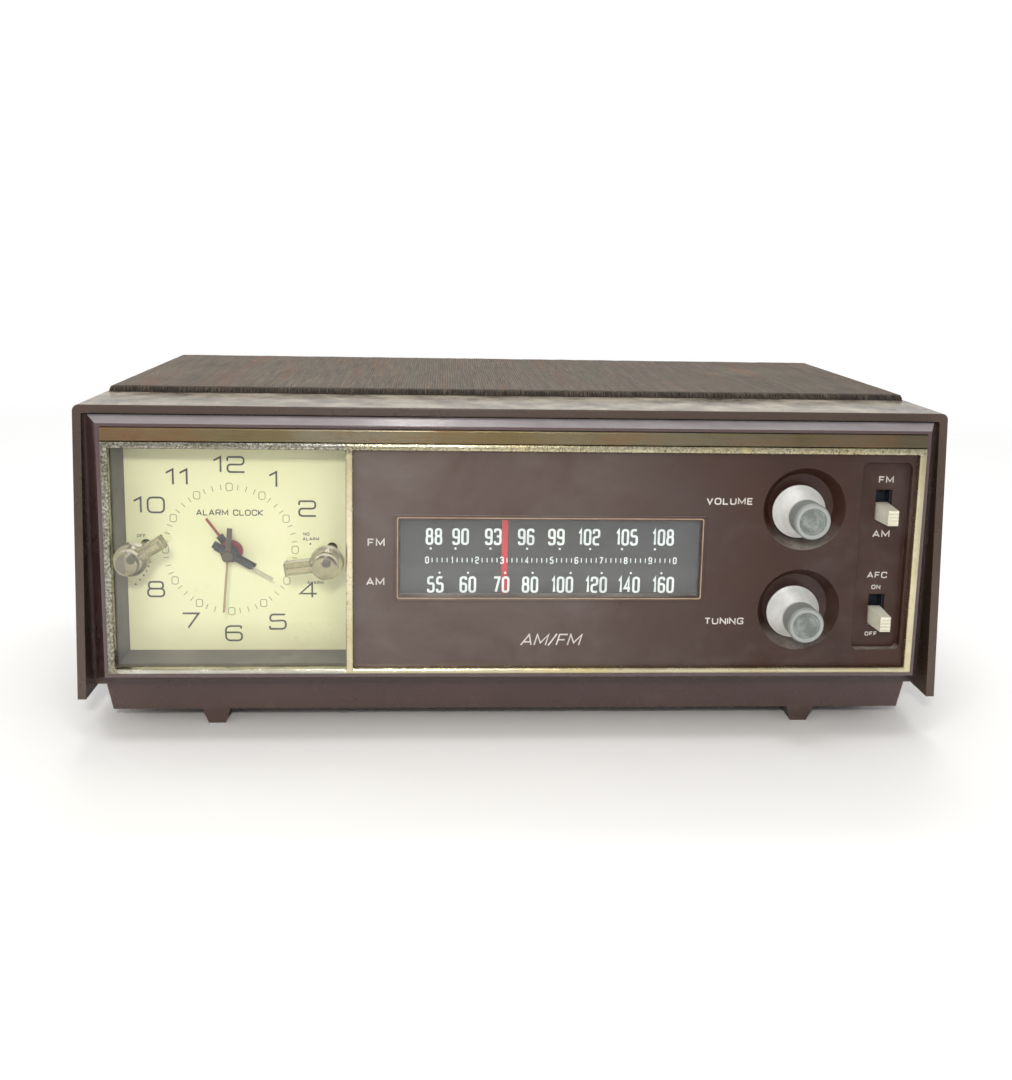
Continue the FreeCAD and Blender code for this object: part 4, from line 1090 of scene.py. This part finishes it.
def makeScalePrint():
    # the figures are on the back of the window, the pointer runs behind them
    low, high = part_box("tuner_lens")
    depth = high.y + 3 * lift
    bm = bmesh.new()
    for row, height, dots in (("fm", "fmHeight", "fmDots"), ("am", "amHeight", "amDots")):
        for figure, (x, side) in scalePrint[row].items():
            inkText(bm, figure, (x * mm, scalePrint[height] * mm), scalePrint["tall"] * mm,
                    scalePrint["wide"] * mm, scalePrint["gap"] * mm, scalePrint["weight"] * mm, depth,
                    corner=scalePrint["corner"])
            inkDot(bm, ((x + side) * mm, scalePrint[dots] * mm), scalePrint["dotSize"] * mm, depth)
    span = scalePrint["logTo"] - scalePrint["logFrom"]
    for step in range(51):
        x = scalePrint["logFrom"] + span * step / 50
        if step % 5 == 0:
            figure = str(step // 5 % 10)
            inkText(bm, figure, (x * mm, scalePrint["logHeight"] * mm), scalePrint["logTall"] * mm,
                    scalePrint["logWide"] * mm, scalePrint["logGap"] * mm, scalePrint["logWeight"] * mm,
                    depth, corner=scalePrint["corner"])
        else:
            start = Vector((x * mm, (scalePrint["logHeight"] - scalePrint["logTick"] / 2) * mm))
            inkStroke(bm, [start, start + Vector((0, scalePrint["logTick"] * mm))], False,
                      scalePrint["logTickWeight"] * mm, depth)
    piece = finishInk(bm, "tuner_figures", makeInk("scale white ink", scalePrint["ink"],
                                                   scalePrint["faded"], 0.30))


panelPrint = {
    "words": [  # words, x, z, height, letter width, gap, stroke, lean
        ("FM", -48.8, 73.1, 2.7, 2.5, 0.55, 0.46, 0.0),
        ("AM", -49.1, 59.3, 2.7, 2.5, 0.50, 0.46, 0.0),
        ("AM/FM", 11.9, 38.5, 4.3, 3.7, 0.55, 0.50, 0.30),
        ("VOLUME", 72.2, 88.2, 2.4, 2.25, 0.50, 0.44, 0.0),
        ("TUNING", 72.3, 45.3, 2.4, 2.28, 0.48, 0.44, 0.0),
    ],
    "floorWords": [
        ("FM", 127.7, 95.6, 2.4, 2.3, 0.45, 0.44, 0.0),
        ("AM", 127.2, 76.2, 2.5, 2.45, 0.50, 0.44, 0.0),
        ("AFC", 126.9, 61.3, 2.3, 2.1, 0.44, 0.40, 0.0),
        ("ON", 126.8, 56.9, 1.6, 1.4, 0.35, 0.30, 0.0),
        ("OFF", 126.2, 39.7, 1.5, 1.3, 0.35, 0.28, 0.0),
    ],
    "floorBehind": 2.8,     # how far the switch recess floor lies behind the panel front
    "lineColour": (176, 150, 122), "lineFaded": (140, 116, 96), "lineWide": 0.42, "lineOut": 0.0006,
    "lineCorner": 0.0008, "panelLead": 0.0005,      # the panel stands this far in front of the lens
    "ink": (214, 210, 204), "faded": (168, 158, 150),
}


def makePanelPrint():
    low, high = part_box("tuner_lens")
    front = low.y - panelPrint["panelLead"]
    floor = front + panelPrint["floorBehind"] * mm
    bm = bmesh.new()
    for rows, depth in ((panelPrint["words"], front - lift), (panelPrint["floorWords"], floor - lift)):
        for words, x, z, tall, wide, gap, weight, lean in rows:
            inkText(bm, words, (x * mm, z * mm), tall * mm, wide * mm, gap * mm, weight * mm, depth, lean)
    words = finishInk(bm, "panel_words", makeInk("panel white ink", panelPrint["ink"], panelPrint["faded"],
                                                 0.30))
    out = panelPrint["lineOut"]
    corners = [(low.x - out, low.z - out), (high.x + out, low.z - out), (high.x + out, high.z + out),
               (low.x - out, high.z + out)]
    ring = bmesh.new()
    inkStroke(ring, roundCorners([Vector(c) for c in corners], True, panelPrint["lineCorner"]), True,
              panelPrint["lineWide"] * mm, front - lift)
    line = finishInk(ring, "window_line", makeInk("window tan line", panelPrint["lineColour"],
                                                  panelPrint["lineFaded"], 0.30, 0.35))


makeDialPrint()
makeScalePrint()
makePanelPrint()
print("prints ready")


# grille cloth on top

clothLook = {
    "cordPitch": 0.00098, "cordHeight": 0.00010, "samplesPerCord": 4,
    "edgeRoll": 0.0015, "sag": 0.00022,
    "colour": (102, 90, 76), "pale": (136, 122, 104), "dark": (64, 55, 47),
    # the gap colour is painted shade, in the valleys between cords and along the front edge
    "rust": (122, 86, 66), "green": (98, 98, 78), "gap": (40, 34, 29),
    "lint": (206, 198, 184), "frontEdgeShadeDepth": 0.0026,
    "endsEvery": 0.00042, "endLength": (0.0016, 0.0042), "endThick": 0.00015, "endShadeColour": (34, 28, 25),
    "endPale": (104, 90, 76),
    "rowStep": 0.00122, "seed": 71, "endSeed": 42,
}


def makeClothMaterial():
    material, shader = startMaterial("corded grille cloth")
    weave = useGroup(cordedWeave, Cord_Pitch=clothLook["cordPitch"])
    shade = ranged(weave["Cord Shade"], 0.30, 0.70)
    colour = blendColour(shade, clothLook["dark"], clothLook["pale"])
    colour = blendColour(0.45, colour, clothLook["colour"])
    rust = ranged(weave["Tint"], 0.54, 0.70)
    green = ranged(weave["Tint"], 0.46, 0.32)
    colour = blendColour(times(rust, 0.60), colour, clothLook["rust"])
    colour = blendColour(times(green, 0.50), colour, clothLook["green"])
    # valleys between cords darkened: painted shade
    colour = blendColour(times(weave["Valley Shade"], 0.75), colour, clothLook["gap"])
    worn = useGroup(handlingHaze, Stretch=(1.0, 0.6, 1.0), Scale=20.0, Cover=0.42)["Mask"]
    colour = blendColour(times(worn, 0.30), colour, clothLook["pale"])
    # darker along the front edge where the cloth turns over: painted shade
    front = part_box("grille_cloth")[0].y
    forward = splitPlace()["Y"]
    frontEdgeShade = ranged(forward, front + clothLook["frontEdgeShadeDepth"], front + 0.0006, 0.0, 0.85)
    colour = blendColour(frontEdgeShade, colour, clothLook["gap"])
    lint = useGroup(stainSpecks, Scale=330.0, Size=0.16, Cover=0.40, Patch_Scale=26.0)
    colour = blendColour(times(lint["Mask"], 0.8), colour, clothLook["lint"])
    wire(shader, "Sheen Weight", 0.05)
    wire(shader, "Sheen Roughness", 0.6)
    surface(shader, colour, ranged(weave["Cord Shade"], 0.2, 0.8, 0.78, 0.95), weave["Height"], 0.55,
            0.0003)
    return material


def rollOff(distance, radius):
    # how far the cloth drops near an edge that it is turned over
    t = np.clip(1 - distance / radius, 0, 1)
    return 1 - np.sqrt(np.clip(1 - t ** 2, 0, 1))


def makeCloth():
    low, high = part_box("grille_cloth")
    wide, deep = high.x - low.x, high.y - low.y
    cords = round(wide / clothLook["cordPitch"])
    columns = cords * clothLook["samplesPerCord"] + 1
    nearEdge = [0, 0.00006, 0.0002, 0.0004, 0.0007, 0.0011, 0.0015, 0.0020]
    rows = nearEdge + list(np.arange(0.003, deep - 0.0025,
                                     clothLook["rowStep"])) + [deep - d for d in reversed(nearEdge)]
    rng = np.random.default_rng(clothLook["seed"])
    x = np.linspace(0, wide, columns)
    y = np.array(rows)
    cordNumber = np.floor(x / clothLook["cordPitch"] + 0.25).astype(int).clip(0, cords)
    cordSize = rng.uniform(0.55, 1.15, cords + 1)[cordNumber]
    slow = np.interp(np.linspace(0, 40, len(y)), np.arange(41), rng.normal(0, 1, 41))
    phase = 2 * math.pi * x / clothLook["cordPitch"]
    X, Y = np.meshgrid(x, y)
    rib = np.cos(phase)[None, :] * cordSize[None, :] * clothLook["cordHeight"]
    slub = np.interp(np.linspace(0, 90, columns), np.arange(91), rng.normal(0, 1, 91))
    drift = 0.00005 * slub[None, :] * np.ones_like(Y) + 0.00004 * slow[:, None]
    edge = np.minimum(np.minimum(X, wide - X), np.minimum(Y, deep - Y))
    middle = np.sin(math.pi * X / wide) * np.sin(math.pi * Y / deep)
    fade = np.clip(edge / 0.002, 0, 1)
    top = high.z - 0.00020
    drop = rollOff(edge, clothLook["edgeRoll"]) * (top - low.z - 0.00004)
    Z = top + (rib + drift) * fade - clothLook["sag"] * middle - drop
    points = np.stack([X + low.x, Y + low.y, Z], -1).reshape(-1, 3)
    index = np.arange(points.shape[0]).reshape(len(y), columns)
    faces = np.stack([index[:-1, :-1], index[:-1, 1:], index[1:, 1:], index[1:, :-1]], -1).reshape(-1, 4)
    data = bpy.data.meshes.new("grille_cloth_weave")
    data.vertices.add(len(points))
    data.vertices.foreach_set("co", points.ravel())
    data.loops.add(faces.size)
    data.loops.foreach_set("vertex_index", faces.ravel())
    data.polygons.add(len(faces))
    data.polygons.foreach_set("loop_start", np.arange(0, faces.size, 4))
    data.update(calc_edges=True)
    data.shade_smooth()
    cloth = showMesh("grille_cloth_weave", data, makeClothMaterial())
    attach(cloth, "cabinet")
    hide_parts("grille_cloth")
    return cloth


def makeThreadEnds():
    # cut cord ends that stick out along the front edge
    low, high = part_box("grille_cloth")
    rng = random.Random(clothLook["endSeed"])
    points, faces = [], []
    x = low.x + 0.0008
    while x < high.x - 0.0008:
        length = rng.uniform(*clothLook["endLength"])
        thick = clothLook["endThick"] * rng.uniform(0.7, 1.3)
        sway = rng.uniform(-0.0006, 0.0006)
        lean = rng.uniform(0.25, 0.9)
        path = [Vector((x, low.y + 0.0009, high.z - 0.00045)),
                Vector((x + sway * 0.2, low.y + 0.0001, high.z - 0.00060)),
                Vector((x + sway * 0.6, low.y - length * 0.35 * lean, high.z - 0.00060 - length * 0.25)),
                Vector((x + sway, low.y - length * 0.75 * lean,
                        max(low.z + 0.0001, high.z - 0.0006 - length * 0.8)))]
        start = len(points)
        for i, spot in enumerate(path):
            width = thick * (1.0, 1.1, 0.9, 0.35)[i]
            for corner in range(4):
                turn = math.pi / 2 * corner + 0.4
                points.append(spot + Vector((math.cos(turn) * width, 0.3 * math.sin(turn) * width,
                                             math.sin(turn) * width)))
        for i in range(3):
            for corner in range(4):
                a = start + i * 4 + corner
                b = start + i * 4 + (corner + 1) % 4
                faces.append((a, b, b + 4, a + 4))
        faces.append(tuple(start + 12 + corner for corner in range(4)))
        x += clothLook["endsEvery"] * rng.uniform(0.75, 1.25)
    # the cut ends are real; their colour, far darker than the cloth, is painted shade along the front edge
    material, shader = startMaterial("cut cord ends")
    base = drifting(clothLook["endShadeColour"], clothLook["endPale"], 300.0)
    fuzz = noise(objectPlace(), 3000.0, 3.0)
    surface(shader, base, ranged(fuzz, 0.3, 0.7, 0.80, 0.95), fuzz, 0.3, 0.0002)
    ends = meshPiece("grille_cloth_ends", points, faces, material, True)
    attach(ends, "cabinet")
    return ends


cloth = makeCloth()
ends = makeThreadEnds()
print("grille cloth ready")


# floor

def makeFloor():
    half = studio["floorWidth"] / 2
    material, shader = startMaterial("pale studio floor")
    shade = toLinear(studio["floorColour"])
    faint = tuple(part * 0.985 for part in shade[:3]) + (1,)
    wire(shader, "Base Color", drifting(shade, faint, 3.0))
    join(ranged(noise(objectPlace(), 40.0, 3.0), 0.3, 0.7, 0.75, 0.85), shader.inputs["Roughness"])
    far = vectorMaths("LENGTH", objectPlace())
    start, end = studio["floorFade"]
    wire(shader, "Alpha", ranged(far, start, end, 1.0, 0.0, "SMOOTHSTEP"))
    floor = meshPiece("floor", [(-half, -half, 0), (half, -half, 0), (half, half, 0), (-half, half, 0)],
                      [(0, 1, 2, 3)], material)
    floor.location.z = cadLow.z - 0.00002


makeFloor()
bpy.context.view_layer.update()
